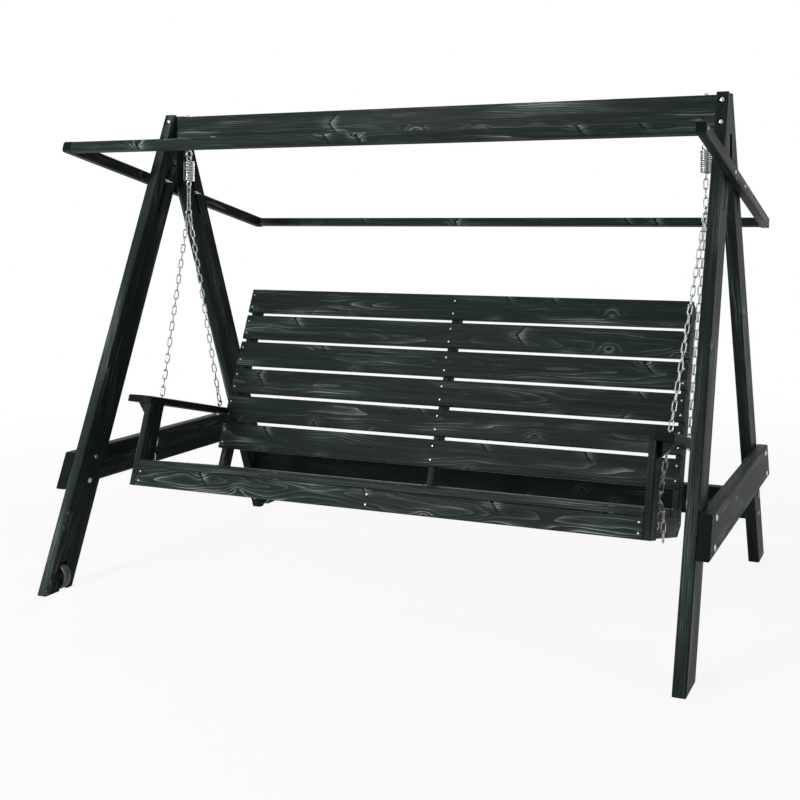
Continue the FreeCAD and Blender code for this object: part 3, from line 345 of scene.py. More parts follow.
def knot_marks(tree, board, wide_side):
    """The parts of the knots, each 1 where it shows and 0 elsewhere."""
    flat = add(tree, "ShaderNodeMapping", {"Vector": board, "Scale": KNOT_SCALE})
    cells = {"Vector": flat, "Scale": 1.0, "Randomness": 0.85}
    knots = add(tree, "ShaderNodeTexVoronoi", cells, voronoi_dimensions="2D")
    pick = add(tree, SPLIT, (knots.outputs["Color"],))
    # A knot shows on the wide faces, and only a stripe of it would on the edges
    present = add(tree, MATH, (pick.outputs["X"], 0.45), operation="GREATER_THAN")
    wide = add(tree, MATH, (wide_side, 0.6), operation="GREATER_THAN")
    present = add(tree, MATH, (present, wide), operation="MULTIPLY")

    pair = (flat, knots.outputs["Position"])
    local = add(tree, "ShaderNodeVectorMath", pair, operation="SUBTRACT")
    local = add(tree, SPLIT, (local,))
    reach = add(tree, MATH, (local.outputs["Y"],), operation="ABSOLUTE")
    square = add(tree, MATH, (reach, reach), operation="MULTIPLY")
    square = add(tree, MATH, (square, 0.3), operation="MULTIPLY")
    bend = add(tree, MATH, (reach, 0.4, square), operation="MULTIPLY_ADD")
    past = add(tree, MATH, (local.outputs["X"], bend), operation="SUBTRACT")
    branched = add(tree, MATH, (pick.outputs["Y"], 0.55), operation="GREATER_THAN")
    branched = add(tree, MATH, (branched, present), operation="MULTIPLY")
    fading = add(tree, RANGE, (reach, 0.16, 0.36, 1.0, 0.0))
    branched = add(tree, MATH, (branched, fading), operation="MULTIPLY")

    gap = knots.outputs["Distance"]
    to_bark = add(tree, MATH, (gap, 0.072), operation="SUBTRACT")
    to_bark = add(tree, MATH, (to_bark,), operation="ABSOLUTE")
    to_line = add(tree, MATH, (past,), operation="ABSOLUTE")
    marks = {}
    for mark, distance, inner, outer, where in (
        ("near", gap, 0.03, 0.34, present),
        ("core", gap, 0.015, 0.05, present),
        ("bark", to_bark, 0.004, 0.014, present),
        ("whisker", to_line, 0.008, 0.032, branched),
        ("beside", past, 0.02, 0.16, branched),
    ):
        fading = add(tree, RANGE, (distance, inner, outer, 1.0, 0.0))
        marks[mark] = add(tree, MATH, (fading, where), operation="MULTIPLY")
    near = marks["near"]
    marks["near"] = add(tree, MATH, (near, near), operation="MULTIPLY")
    behind = add(tree, MATH, (past, 0.0), operation="GREATER_THAN")
    marks["beside"] = add(tree, MATH, (marks["beside"], behind), operation="MULTIPLY")
    return marks


print("one knot at most in each", [round(1000 / scale) for scale in KNOT_SCALE[:2]], "mm")

# %% [markdown]
# ## Stained pine: rings and stain
#
# The distance from the log's middle line gives the ring. Because that line wanders and the log
# tapers, the flat face shows the long arches of real boards. Real rings are 2 to 4 mm wide; here
# they are drawn 6 mm wide, and the fibres 2 mm, so that they show from this far. Everything that
# makes the board paler or darker, a painted sheen in pale patches among it, adds up to one tone,
# and one ramp of stain colours turns it into the board.

# %% Stained pine
STAIN = [(0.0, "060b08"), (0.26, "121a16"), (0.44, "1f2824"), (0.62, "404946"), (0.85, "868d8a")]
RING_WIDE = 6 * MM


def pine(name, centre, along, normal, seed):
    """A board of stained pine, cut from its own log."""
    material, tree = new_material(name)
    figure, tone_and_shade, swerve, log = character(name, seed)
    board, wide_side, end_side = board_space(tree, centre, along, normal, log)
    marks = knot_marks(tree, board, wide_side)
    for layer, stretch, detail in (
        ("wander", (1.6, 9.0, 9.0), 2.0),
        ("patches", (2.2, 16.0, 16.0), 3.0),
        ("streaks", (1.0, 60.0, 60.0), 3.0),
        ("fibre", (6.0, 480.0, 480.0), 2.0),
    ):
        drawn = add(tree, "ShaderNodeMapping", {"Vector": board, "Scale": stretch})
        marks[layer] = add(tree, NOISE, {"Vector": drawn, "Scale": 1.0, "Detail": detail})

    split = add(tree, SPLIT, (board,))
    across, deep = split.outputs["Y"], split.outputs["Z"]
    squares = add(tree, MATH, (across, across), operation="MULTIPLY")
    squares = add(tree, MATH, (deep, deep, squares), operation="MULTIPLY_ADD")
    radius = add(tree, MATH, (squares,), operation="SQRT")
    for part, share in (
        (split.outputs["X"], 0.012),
        (marks["wander"], swerve),
        (marks["near"], 0.012),
    ):
        radius = add(tree, MATH, (part, share, radius), operation="MULTIPLY_ADD")
    ring = add(tree, MATH, (radius, RING_WIDE), operation="DIVIDE")
    ring = add(tree, MATH, (ring,), operation="FRACT")
    late = add(tree, MATH, (ring, 3.0), operation="POWER")

    # Pale patches along the boards and round the knots: partly paler wood that holds less stain,
    # partly painted sheen of the boards' gloss
    pale_wood_and_sheen = add(tree, RANGE, (marks["patches"], 0.5, 0.74))
    pale_wood_and_sheen = add(tree, MATH, (pale_wood_and_sheen, marks["near"]), operation="MAXIMUM")
    tone = add(tree, MATH, (late, pale_wood_and_sheen), operation="MULTIPLY")
    tone = add(tree, MATH, (tone, 0.34, tone_and_shade - figure * 0.25), operation="MULTIPLY_ADD")
    for part, share in (
        (late, figure),
        (pale_wood_and_sheen, 0.13),
        (marks["streaks"], 0.32),
        (marks["fibre"], 0.40),
        (marks["beside"], 0.20),
        (marks["core"], -0.40),
        (marks["bark"], -0.16),
        (marks["whisker"], -0.34),
    ):
        tone = add(tree, MATH, (part, share, tone), operation="MULTIPLY_ADD")
    colour = add(tree, RAMP, (tone,), STAIN)
    # End grain drinks more stain
    ends = {"Factor": add(tree, RANGE, (end_side, 0.7, 0.9)), 6: colour, 7: srgb("0e1512")}
    colour = add(tree, "ShaderNodeMix", ends, data_type="RGBA").outputs[2]
    height = add(tree, MATH, (late, 0.4, marks["fibre"]), operation="MULTIPLY_ADD")
    bump = {"Height": height, "Strength": 0.25, "Distance": 0.5 * MM}
    look = {
        "Base Color": colour,
        "Specular IOR Level": 0.03,
        "Roughness": add(tree, RANGE, (tone, 0.25, 0.7, 0.50, 0.30)),
        "Normal": add(tree, "ShaderNodeBump", bump),
    }
    add(tree, OUTPUT, {"Surface": add(tree, SHADER, look)})
    return material


print("stain in", len(STAIN), "tones, rings", RING_WIDE / MM, "mm wide")

# %% [markdown]
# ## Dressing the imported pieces
#
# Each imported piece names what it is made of. Steel and plastic pieces can share a material, but
# two boards out of the same log at the same place would show the same knots, so every board gets
# its own, with its number as the seed.

# %% Dress the CAD nodes
slots = {entry["node"]: entry["material_slot"] for entry in frame["record"]["subparts"]}
shared = {"wheel_plastic": moulded, "spring_steel": spring_steel, "galvanised_steel": zinc}
for number, node in enumerate(sorted(frame["nodes"])):
    mesh = bpy.data.objects[node].data
    mesh.materials.clear()
    if slots[node] == "stained_pine":
        low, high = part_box(node)
        centre = (Vector(low) + Vector(high)) / 2
        length, face = board_axes(node)
        mesh.materials.append(pine("stained_pine_" + node, centre, length, face, number))
    else:
        mesh.materials.append(shared[slots[node]])
print("dressed", len(frame["nodes"]), "nodes")

# %% [markdown]
# ## Making round steel
#
# Two ways of making cover all the ironwork. Bent wire is a round section that is swept along a
# path, and heads, washers and hubs are an outline that is turned about an axis, as on a lathe.
# Curves with a bevel could make the wire too, but here the sections go straight into a mesh, so
# that a whole chain becomes one piece.

# %% Helpers for wire and turned pieces


def cross_axes(way):
    """Two directions at right angles to a third."""
    helper = UP if abs(way.z) < 0.9 else REAR
    one = helper.cross(way).normalized()
    return one, way.cross(one)


def ring_of(form, centre, one, other, radii):
    """A ring of corners, one for each radius, in the plane of two directions."""
    corners = []
    for step, radius in enumerate(radii):
        angle = 2 * math.pi * step / len(radii)
        spoke = one * math.cos(angle) + other * math.sin(angle)
        corners.append(form.verts.new(centre + spoke * radius))
    return corners


def skin(form, rings, closed=False):
    """Join rings of corners into faces, and close the way round or else both ends."""
    count = len(rings[0])
    pairs = list(zip(rings, rings[1:]))
    if closed:
        pairs.append((rings[-1], rings[0]))
    for here, there in pairs:
        for index in range(count):
            after = (index + 1) % count
            form.faces.new((here[index], here[after], there[after], there[index]))
    if not closed:
        form.faces.new(rings[0])
        form.faces.new(rings[-1][::-1])


def sweep(form, path, radius, sides=10, closed=False):
    """A round wire along a path, with flat ends unless it is closed."""
    count = len(path)
    ways = []
    for index in range(count):
        before = path[index - 1] if closed or index else path[0]
        after = path[(index + 1) % count] if closed or index < count - 1 else path[-1]
        ways.append((after - before).normalized())
    across = cross_axes(ways[0])[0]
    rings = []
    for place, way in zip(path, ways):
        across = (across - way * across.dot(way)).normalized()
        rings.append(ring_of(form, place, across, way.cross(across), [radius] * sides))
    skin(form, rings, closed)


def turn(form, place, way, outline, sides=24, closed=False):
    """Turn an outline of (distance along the axis, radius) pairs, in millimetres, about an axis."""
    one, other = cross_axes(way)
    rings = []
    for along, radius in outline:
        rings.append(ring_of(form, place + way * along * MM, one, other, [radius * MM] * sides))
    skin(form, rings, closed)


def finish(name, form, material, body, nodes=()):
    """Turn a form into a piece that rides on a body and stands for CAD nodes."""
    bmesh.ops.recalc_face_normals(form, faces=form.faces)
    mesh = bpy.data.meshes.new(name)
    form.to_mesh(mesh)
    form.free()
    mesh.materials.append(material)
    mesh.polygons.foreach_set("use_smooth", [True] * len(mesh.polygons))
    mesh.set_sharp_from_angle(angle=math.radians(35))
    piece = bpy.data.objects.new(name, mesh)
    bpy.context.scene.collection.objects.link(piece)
    if body:
        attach(piece, body)
    if nodes:
        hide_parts(*nodes)
    print(name, "has", len(mesh.polygons), "faces")
    return piece


# %% [markdown]
# ## Finding the solids
#
# One CAD node can hold many solids, such as all the links of a chain. Their places could be typed
# in again, but then a change of the model would leave them behind. Walking from corner to corner
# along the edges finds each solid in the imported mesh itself.

# %% Solids of a node


def solids_of(node):
    """The corners of each separate solid in a CAD node."""
    form = bmesh.new()
    form.from_mesh(bpy.data.objects[node].data)
    bmesh.ops.remove_doubles(form, verts=form.verts, dist=0.01 * MM)
    waiting = set(form.verts)
    solids = []
    while waiting:
        group = [waiting.pop()]
        for vertex in group:
            for edge in vertex.link_edges:
                other = edge.other_vert(vertex)
                if other in waiting:
                    waiting.discard(other)
                    group.append(other)
        solids.append([vertex.co.copy() for vertex in group])
    form.free()
    return solids


def middle_of(corners):
    """The middle of the box round some corners."""
    cloud = np.array([list(corner) for corner in corners])
    return Vector((cloud.max(axis=0) + cloud.min(axis=0)) / 2)


print("ridge bolts:", len(solids_of("ridge_bolts")))

# %% [markdown]
# ## Chains
#
# The chain is long-link chain of 5 mm wire, bent and welded link by link, with every second link
# turned by a quarter. Copies along a line would do, but the CAD model already has each link's
# place, so each link is measured there: its longest direction, then its width, then its thickness.

# %% One link
WIRE = 5
LINK_WIDE = 20


def link_path(centre, along, across, long):
    """The middle line of a link's wire."""
    bend = (LINK_WIDE - WIRE) / 2 * MM
    straight = (long - LINK_WIDE * MM) / 2
    path = []
    for end in (1, -1):
        for step in range(9):
            angle = math.pi * step / 8
            lift = along * end * (straight + bend * math.sin(angle))
            path.append(centre + lift + across * end * bend * math.cos(angle))
    return path


def measured_link(corners):
    """A link's middle, its two directions and its length."""
    cloud = np.array([list(corner) for corner in corners])
    middle = cloud.mean(axis=0)
    spread = np.linalg.eigh(np.cov((cloud - middle).T))[1]
    reach = (cloud - middle) @ spread[:, 2]
    return Vector(middle), Vector(spread[:, 2]), Vector(spread[:, 1]), reach.max() - reach.min()


print("first link is", round(measured_link(solids_of("chain_top_left")[0])[3] / MM, 1), "mm long")

# %% [markdown]
# ## Spare links and twist
#
# A chain is cut a few links too long, so that the seat can be set steeper later, and the spare
# ones hang free from the second link above the eye. Chains also seldom hang untwisted: the left
# ones lie an eighth of a turn round, which their end links take up. Both are worked out from the
# measured links.

# %% Chains
# The outer face of the seat frame, and how far back and up in it the front chains are held
SEAT_SIDE = 1056
FRONT_HOLD = (98, 47)
# From the face of a board to the middle of an eye bolt's ring
EYE_LIFT = 16.5
PITCH = 34.7
# From the second link's end, outward, rearward and upward, to the end of the first spare link
FIRST_SPARE = (14, 0, -31)
SPARE_BITE = 7
TWIST = math.radians(45)
TWIST_LINKS = 4


def with_spares(links, east, spare):
    """The loaded links of a front chain, and the spare ones beside them."""
    eye = on_bench(east * (SEAT_SIDE + EYE_LIFT), *FRONT_HOLD)
    links = sorted((link for link in links if link[0].z > eye.z), key=lambda link: link[0].z)
    middle, along, across, long = links[2]
    knee = middle - along * (long / 2 - SPARE_BITE * MM) * math.copysign(1, along.z)
    for index in range(spare):
        step = Vector((0, 0, -PITCH))
        if index == 0:
            step = Vector((east * FIRST_SPARE[0], *FIRST_SPARE[1:]))
        across = REAR if index % 2 else SIDE
        way = -step.normalized()
        across = (across - way * across.dot(way)).normalized()
        links.append((knee + step * MM / 2, way, across, long))
        knee = knee + step * MM
    return links


for side, east, spare in (("left", -1, 3), ("right", 1, 4)):
    for run in ("top", "front", "rear"):
        node = f"chain_{run}_{side}"
        links = [measured_link(corners) for corners in solids_of(node)]
        if run == "front":
            links = with_spares(links, east, spare)
        links = sorted(links, key=lambda link: -link[0].z)
        form = bmesh.new()
        for index, (middle, along, across, long) in enumerate(links):
            from_end = min(index, len(links) - 1 - index, TWIST_LINKS) / TWIST_LINKS
            lie = TWIST * from_end if side == "left" and run != "top" else 0
            upright = along * math.copysign(1, along.z)
            across = across * math.cos(lie) + upright.cross(across) * math.sin(lie)
            path = link_path(middle, along, across.normalized(), long)
            sweep(form, path, WIRE / 2 * MM, closed=True)
        finish(f"linked_chain_{run}_{side}", form, zinc, "bench", [node])
        print(len(links), "links")

# %% [markdown]
# ## Springs
#
# A draw spring: 6 mm wire wound into a tight coil, with an open hook at each end. The bench pulls
# the coil apart when it bobs.

# %% The spring's middle line
SPRING_WIRE = 6
SPRING_LONG = 145
COIL = 20
HOOK = 14
SHOULDER = 13
COIL_LONG = SPRING_LONG - SPRING_WIRE - 2 * (HOOK + SHOULDER)
TURNS = 12.25
TURN_STEPS = 18
BOW_STEPS = 7
HOOK_STEPS = 16
HOOK_ANGLE = 215


def curl():
    """The coil's middle line, upward from its lower end."""
    path = []
    count = int(TURNS * TURN_STEPS)
    for index in range(count + 1):
        angle = 2 * math.pi * TURNS * index / count
        rise = COIL_LONG * angle / (2 * math.pi * TURNS)
        path.append(Vector((COIL * math.cos(angle), COIL * math.sin(angle), rise)))
    return path


def bow(start, start_way, end, end_way, reach):
    """A smooth bend between two places and directions."""
    corners = (start, start + start_way * reach, end - end_way * reach, end)
    path = []
    for index in range(1, BOW_STEPS):
        share = index / BOW_STEPS
        rest = 1 - share
        weights = (rest**3, 3 * share * rest**2, 3 * share**2 * rest, share**3)
        path.append(sum((corner * weight for corner, weight in zip(corners, weights)), Vector()))
    return path


def hook(place, way, axis):
    """From the coil's end over the open hook to its tip."""
    centre = Vector((0, 0, place.z)) + axis * SHOULDER
    side = Vector((way.x, way.y, 0)).normalized()
    path = bow(place, way, centre + side * HOOK, axis, SHOULDER * 0.8)
    for index in range(HOOK_STEPS + 1):
        angle = math.radians(HOOK_ANGLE * index / HOOK_STEPS)
        path.append(centre + (side * math.cos(angle) + axis * math.sin(angle)) * HOOK)
    path.append(path[-1] + (path[-1] - path[-2]).normalized() * SPRING_WIRE)
    return path


coil_path = curl()
upper_way = (coil_path[-1] - coil_path[-2]).normalized()
lower_way = (coil_path[0] - coil_path[1]).normalized()
lower_hook = hook(coil_path[0], lower_way, -UP)
spring_path = lower_hook[::-1] + coil_path + hook(coil_path[-1], upper_way, UP)
print("spring path of", len(spring_path), "points")

# %% [markdown]
# ## Winding the springs
#
# On the real swing each spring hooks into the beam's eye above and the chain below. Stretching
# the whole mesh would flatten the wire at the hooks. Here each spring is wound once where it
# hangs, and it rides on no body.

# %% Springs
SPRING_AWAY = 1.175
SPRING_TOP = 1.7193
for side, east in (("left", -1), ("right", 1)):
    foot = Vector((east * SPRING_AWAY, 0, SPRING_TOP - (HOOK + SHOULDER + COIL_LONG) * MM))
    form = bmesh.new()
    sweep(form, [foot + corner * MM for corner in spring_path], SPRING_WIRE / 2 * MM, 12)
    node = f"spring_{side}"
    spring = finish(f"wound_spring_{side}", form, spring_steel, None, [node])
    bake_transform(spring)

# %% [markdown]
# ## Rings and hanger eyes
#
# A closed ring joins the two chains of each side to the spring's chain. The springs hang from eyes
# whose shanks go up through the beam to a nut. Each is bent wire, so the ring is swept round a
# circle, and the straight shank and the washer are turned.

# %% Rings and hanger eyes


def circle(centre, one, other, radius, count=28):
    """Points round a circle."""
    path = []
    for index in range(count):
        angle = 2 * math.pi * index / count
        path.append(centre + (one * math.cos(angle) + other * math.sin(angle)) * radius * MM)
    return path


JOINING_RING = 15
JOINING_WIRE = 6
form = bmesh.new()
ring_middles = {}
for corners in solids_of("joining_rings"):
    middle = middle_of(corners)
    ring_middles["right" if middle.x > 0 else "left"] = middle
    sweep(form, circle(middle, REAR, UP, JOINING_RING), JOINING_WIRE / 2 * MM, 12, closed=True)
finish("closed_joining_rings", form, zinc, "bench", ["joining_rings"])

EYE = 15
EYE_WIRE = 9
BEAM_LOW = 1.747
BEAM_WASHER = [(0, 5.1), (0, 12), (0.8, 12), (0.8, 5.1)]
form = bmesh.new()
for corners in solids_of("hanger_eyes"):
    middle = middle_of(corners)
    low = min(corner.z for corner in corners)
    high = max(corner.z for corner in corners)
    eye = Vector((middle.x, 0, low + (EYE + EYE_WIRE / 2) * MM))
    sweep(form, circle(eye, REAR, UP, EYE), EYE_WIRE / 2 * MM, 12, closed=True)
    shank = (high - eye.z) / MM - EYE
    turn(form, eye + UP * EYE * MM, UP, [(0, 5), (shank - 1, 5), (shank, 4)])
    turn(form, Vector((middle.x, 0, BEAM_LOW)), -UP, BEAM_WASHER)
finish("bent_hanger_eyes", form, zinc, "stand", ["hanger_eyes"])

# %% [markdown]
# ## Eye bolts of the bench
#
# The bench is held by eye bolts: the front ones stick out of the seat frame's sides, and the rear
# ones stand on the armrests. A front eye turns in the chain's pull, so its ring lies along the
# line from the joining ring to it.

# %% Eye bolts of the bench
BOLT_EYE = 11
BOLT_EYE_WIRE = 7
BOARD_THICK = 28
NUT_TALL = 7
SHANK = EYE_LIFT - BOLT_EYE + BOARD_THICK + NUT_TALL
SHANK_OUTLINE = [(0, 4), (SHANK + 1.5, 4), (SHANK + 2, 3.2)]
WASHER = [(0, 4.1), (0, 10), (1.2, 10), (1.2, 4.1)]
ARM_TOP = 353
REAR_HOLD = (1085, 455)
# The first link of a front chain bears on the joining ring 9.2 mm from its middle
RING_BEARING = 9.2
CHAIN_SPREAD = math.radians(30)


def eye_bolt(form, face, way, one, other):
    """A ring in the plane of two directions, its shank and the washer on the board."""
    eye = face + way * EYE_LIFT * MM
    sweep(form, circle(eye, one, other, BOLT_EYE), BOLT_EYE_WIRE / 2 * MM, 12, closed=True)
    turn(form, eye - way * BOLT_EYE * MM, -way, SHANK_OUTLINE)
    turn(form, face, way, WASHER)


front_eyes = bmesh.new()
rear_eyes = bmesh.new()
for side, east in (("left", -1), ("right", 1)):
    out = SIDE * east
    face = on_bench(east * SEAT_SIDE, *FRONT_HOLD)
    pull = Vector((0, -math.sin(CHAIN_SPREAD), -math.cos(CHAIN_SPREAD)))
    bearing = ring_middles[side] + pull * RING_BEARING * MM
    along = (face + out * EYE_LIFT * MM - bearing).normalized()
    across = along.cross(SIDE).normalized()
    eye_bolt(front_eyes, face, out, along, across.cross(along))
    face = on_bench(east * REAR_HOLD[0], REAR_HOLD[1], ARM_TOP)
    eye_bolt(rear_eyes, face, SEAT_UPWARD, SEAT_REARWARD, SEAT_UPWARD)
finish("bent_front_eye_bolts", front_eyes, zinc, "bench", ["front_eye_bolts"])
finish("bent_rear_eye_bolts", rear_eyes, zinc, "bench", ["rear_eye_bolts"])

# %% [markdown]
# ## Bored recesses
#
# The heads of the ridge bolts and canopy bolts are sunk into round holes, bored across the grain.
# Little light reaches into such a hole, and its bored end grain drinks more stain. The board's own
# material can't know where its bores are, so a thin, nearly black skin lines each one: painted
# shade, with a little of the end grain's darker stain.

# %% Bored recesses, lined with painted shade
# Painted shade for the inside of the bored recesses, with a little of the end grain's darker stain
recess_shade, tree = new_material("painted_recess_shade")
place = add(tree, "ShaderNodeTexCoord").outputs["Object"]
pores = add(tree, NOISE, {"Vector": place, "Scale": 1 / (1.5 * MM), "Detail": 2.0})
colour = add(tree, RAMP, (pores,), [(0.35, "050807"), (0.7, "141b18")])
look = {"Base Color": colour, "Specular IOR Level": 0.05, "Roughness": 0.8}
add(tree, OUTPUT, {"Surface": add(tree, SHADER, look)})
BORE = 25
SKIN_THICK = 0.3
LEG_MIDDLE = 1247.5
# How far from the middle and how high the upper and the lower ridge bolt sit
RIDGE_SEATS = ((42.5, 1870), (64.5, 1787))
RIDGE_BORE_DEEP = 5.5
CANOPY_BOLT_GAP = 186
CANOPY_SEAT = 1299.3
CANOPY_BORE_DEEP = 4.6


def recess_shade_skin(form, place, way, deep):
    """The floor and wall of a bored recess, as a dark skin of a third of a millimetre that paints
    its shade.
    """
    edge = BORE / 2 - 0.1
    inner = edge - SKIN_THICK
    outline = [(0.1, 10.2), (0.1, edge), (deep, edge), (deep, inner), (0.4, inner), (0.4, 10.2)]
    turn(form, place, way, outline, 32, closed=True)


ridge_recess_shade = bmesh.new()
canopy_recess_shade = bmesh.new()
for east in (-1, 1):
    for rear in (-1, 1):
        for seat, z in RIDGE_SEATS:
            spot = Vector((east * LEG_MIDDLE, rear * seat, z)) * MM
            recess_shade_skin(ridge_recess_shade, spot, REAR * rear, RIDGE_BORE_DEEP)
    for rear in (0, CANOPY_BOLT_GAP):
        spot = on_canopy(east * CANOPY_SEAT, rear, 0)
        recess_shade_skin(canopy_recess_shade, spot, SIDE * east, CANOPY_BORE_DEEP)
finish("painted_shade_ridge_recesses", ridge_recess_shade, recess_shade, "stand")
finish("painted_shade_canopy_recesses", canopy_recess_shade, recess_shade, "canopy")

# %% [markdown]
# ## Ridge bolts and coach bolts
#
# The ridge beam is held by hexagon bolts, and the side boards by coach bolts with low round heads.
# A head could be a plain cylinder, but light catches on the corners of a hexagon, which are cut
# round on a real bolt, and on the crown of a dome. A dome is turned, and a hexagon is a ring whose
# radius follows six flats.

# %% Ridge bolts and coach bolts
DOME = [(0, 10.4), (0.6, 10.5), (1.8, 10.0), (3.2, 8.4), (4.3, 5.6), (4.9, 2.6), (5.0, 0.4)]


def hexagon(form, place, way, wide, tall):
    """A hexagon head whose top corners are cut round."""
    one, other = cross_axes(way)
    flats = []
    for step in range(12):
        off = (math.pi * step / 6 + math.pi / 6) % (math.pi / 3) - math.pi / 6
        flats.append(min(wide / 2 / math.cos(off), wide / 2 * 1.13) * MM)
    top = [wide / 2 * 0.95 * MM] * len(flats)
    rings = []
    for level, radii in ((0, flats), (0.86, flats), (1.0, top)):
        rings.append(ring_of(form, place + way * level * tall * MM, one, other, radii))
    skin(form, rings)


HEXAGON_WIDE = 17
HEXAGON_TALL = 6.4
HEXAGON_SEAT = 6.5
HEXAGON_CROWN = [(0, 7.4), (0.6, 7.0), (1.1, 5.0), (1.2, 1.0)]
STRETCHER_OUTER = 1.315
STRETCHER_SHANK = [(0, 5), (98.8, 5), (100, 4)]
form = bmesh.new()
for corners in solids_of("ridge_bolts"):
    middle = middle_of(corners)
    front = min(corner.y for corner in corners)
    head = Vector((middle.x, front + HEXAGON_SEAT * MM, middle.z))
    hexagon(form, head, -REAR, HEXAGON_WIDE, HEXAGON_TALL)
    turn(form, head - REAR * (HEXAGON_TALL - 0.2) * MM, -REAR, HEXAGON_CROWN)
    long = (max(corner.y for corner in corners) - head.y) / MM
    turn(form, head, REAR, [(0, 5), (long - 1.2, 5), (long, 4)], 16)
finish("hexagon_ridge_bolts", form, bolt_zinc, "stand", ["ridge_bolts"])

form = bmesh.new()
for corners in solids_of("stretcher_bolts"):
    middle = middle_of(corners)
    out = SIDE if middle.x > 0 else -SIDE
    head = Vector((out.x * STRETCHER_OUTER, middle.y, middle.z))
    turn(form, head, out, DOME)
    turn(form, head, -out, STRETCHER_SHANK, 16)
finish("coach_stretcher_bolts", form, bolt_zinc, "stand", ["stretcher_bolts"])

# %% [markdown]
# ## Canopy bolts and wing nuts
#
# The canopy frame is set by hand: four coach bolts clamp it through the slots of the legs, with
# wing nuts on the inside. A wing nut is cast, with two ears on a turned hub. Each ear is one
# rounded outline with a thickness, made at both ends of the hub by turning its sign.

# %% Canopy bolts and wing nuts
SMALL_DOME = [(along * 1.6, radius * 0.85) for along, radius in DOME]
WING_HUB = [(0, 8.4), (1, 8.4), (6, 6.4), (10, 6.2)]
EAR = [(2, 4), (3, 12), (7, 18), (12, 20.5), (16, 19), (16.5, 15), (12, 10), (9, 4)]
HALF_EAR_THICK = 1.5
CANOPY_SHANK = [(0, 4), (85.3, 4), (86.4, 3.2)]
LEG_INNER = 1225
NUT_PLAY = 0.3
for end, rear, body in (("front", 0, "canopy_carrier"), ("rear", CANOPY_BOLT_GAP, "canopy")):
    bolts = bmesh.new()
    wings = bmesh.new()
    for east in (-1, 1):
        out = SIDE * east
        head = on_canopy(east * CANOPY_SEAT, rear, 0)
        turn(bolts, head, out, SMALL_DOME)
        turn(bolts, head, -out, CANOPY_SHANK, 16)
        seat = on_canopy(east * (LEG_INNER - NUT_PLAY), rear, 0)
        turn(wings, seat, -out, WING_HUB, 20)
        for lift in (1, -1):
            ears = []
            for level in (-HALF_EAR_THICK, HALF_EAR_THICK):
                ear = []
                for along, up in EAR:
                    spot = seat - out * along * MM + CANOPY_UPWARD * level * MM
                    ear.append(wings.verts.new(spot + CANOPY_REARWARD * up * lift * MM))
                ears.append(ear)
            skin(wings, ears)
    finish(f"coach_{end}_canopy_bolts", bolts, bolt_zinc, body, [f"canopy_{end}_bolts"])
    finish(f"cast_{end}_wing_nuts", wings, bolt_zinc, body, [f"canopy_{end}_wing_nuts"])

# %% [markdown]
# ## Wheels
#
# The two small wheels let one person roll the stand when the other end is lifted. They are moulded
# in one piece with a crowned tread, a rim, a thin web and a hub. One outline turned about the axle
# gives all of that; half of it is written, and the other half is its mirror image.

# %% Wheels
TREAD = [
    (-2, 40), (-6, 40.5), (-12.5, 41), (-14, 42),
    (-14.6, 43.5), (-13.5, 46), (-10.5, 48.3), (-6, 49.6),
]
WEB = [
    (6, 38), (4.5, 36), (4.5, 18.5), (6, 17),
    (13.5, 16.5), (14.5, 15.5), (14.5, 6.2), (13.8, 5.1),
]
CROWN = [(0, 50)]
mirrored_tread = [(-along, radius) for along, radius in TREAD[::-1]]
mirrored_web = [(-along, radius) for along, radius in WEB[::-1]]
wheel_outline = (TREAD + CROWN + mirrored_tread)[1:-1] + WEB + mirrored_web
for end in ("front", "rear"):
    low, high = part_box(f"wheel_{end}")
    middle = (Vector(low) + Vector(high)) / 2
    form = bmesh.new()
    turn(form, middle, REAR, wheel_outline, 48, closed=True)
    node = f"wheel_{end}"
    finish(f"crowned_wheel_{end}", form, moulded, node, [node])

# %% [markdown]
# ## Screws
#
# Every slat is held by two screws at each of the three supports. Their heads are 9 mm wide, stand
# a little proud of the stained wood and have a round recess for the driver. They are far too many
# to place by hand, so their places come from the spacing of the slats.

# %% Screw heads
HEAD = [(0.0, 4.4), (0.6, 4.3), (1.0, 3.5), (1.0, 2.1), (0.2, 1.8)]
SUPPORTS = (-1042, 0, 1042)
BACK_PITCH = 124
SEAT_PITCH = 123
SEAT_TOP = 101
BACK_SCREWS = (27, 83)
SEAT_SCREWS = (26, 84)
APRON_SCREWS = (20, 56)
RAIL_SCREWS = ((476, 28), (505, 52), (508, 95))
ARM_SCREWS = (20, 60)
ARM_MIDDLE = 1070
places = []
for x in SUPPORTS:
    for slat in range(6):
        for up in BACK_SCREWS:
            places.append((on_back(x, BACK_PITCH * slat + up, 0), -BACK_NORMAL))
    for slat in range(4):
        for rear in SEAT_SCREWS:
            places.append((on_bench(x, SEAT_PITCH * slat + rear, SEAT_TOP), SEAT_UPWARD))
    for up in APRON_SCREWS:
        places.append((on_bench(x, 0, up), -SEAT_REARWARD))
for east in (-1, 1):
    for rear, up in RAIL_SCREWS:
        places.append((on_bench(east * SEAT_SIDE, rear, up), SIDE * east))
    for rear in ARM_SCREWS:
        places.append((on_bench(east * ARM_MIDDLE, rear, ARM_TOP), SEAT_UPWARD))
form = bmesh.new()
for place, way in places:
    turn(form, place, way, HEAD, 16)
finish("bench_screw_heads", form, screw_zinc, "bench")
print(len(places), "screws")
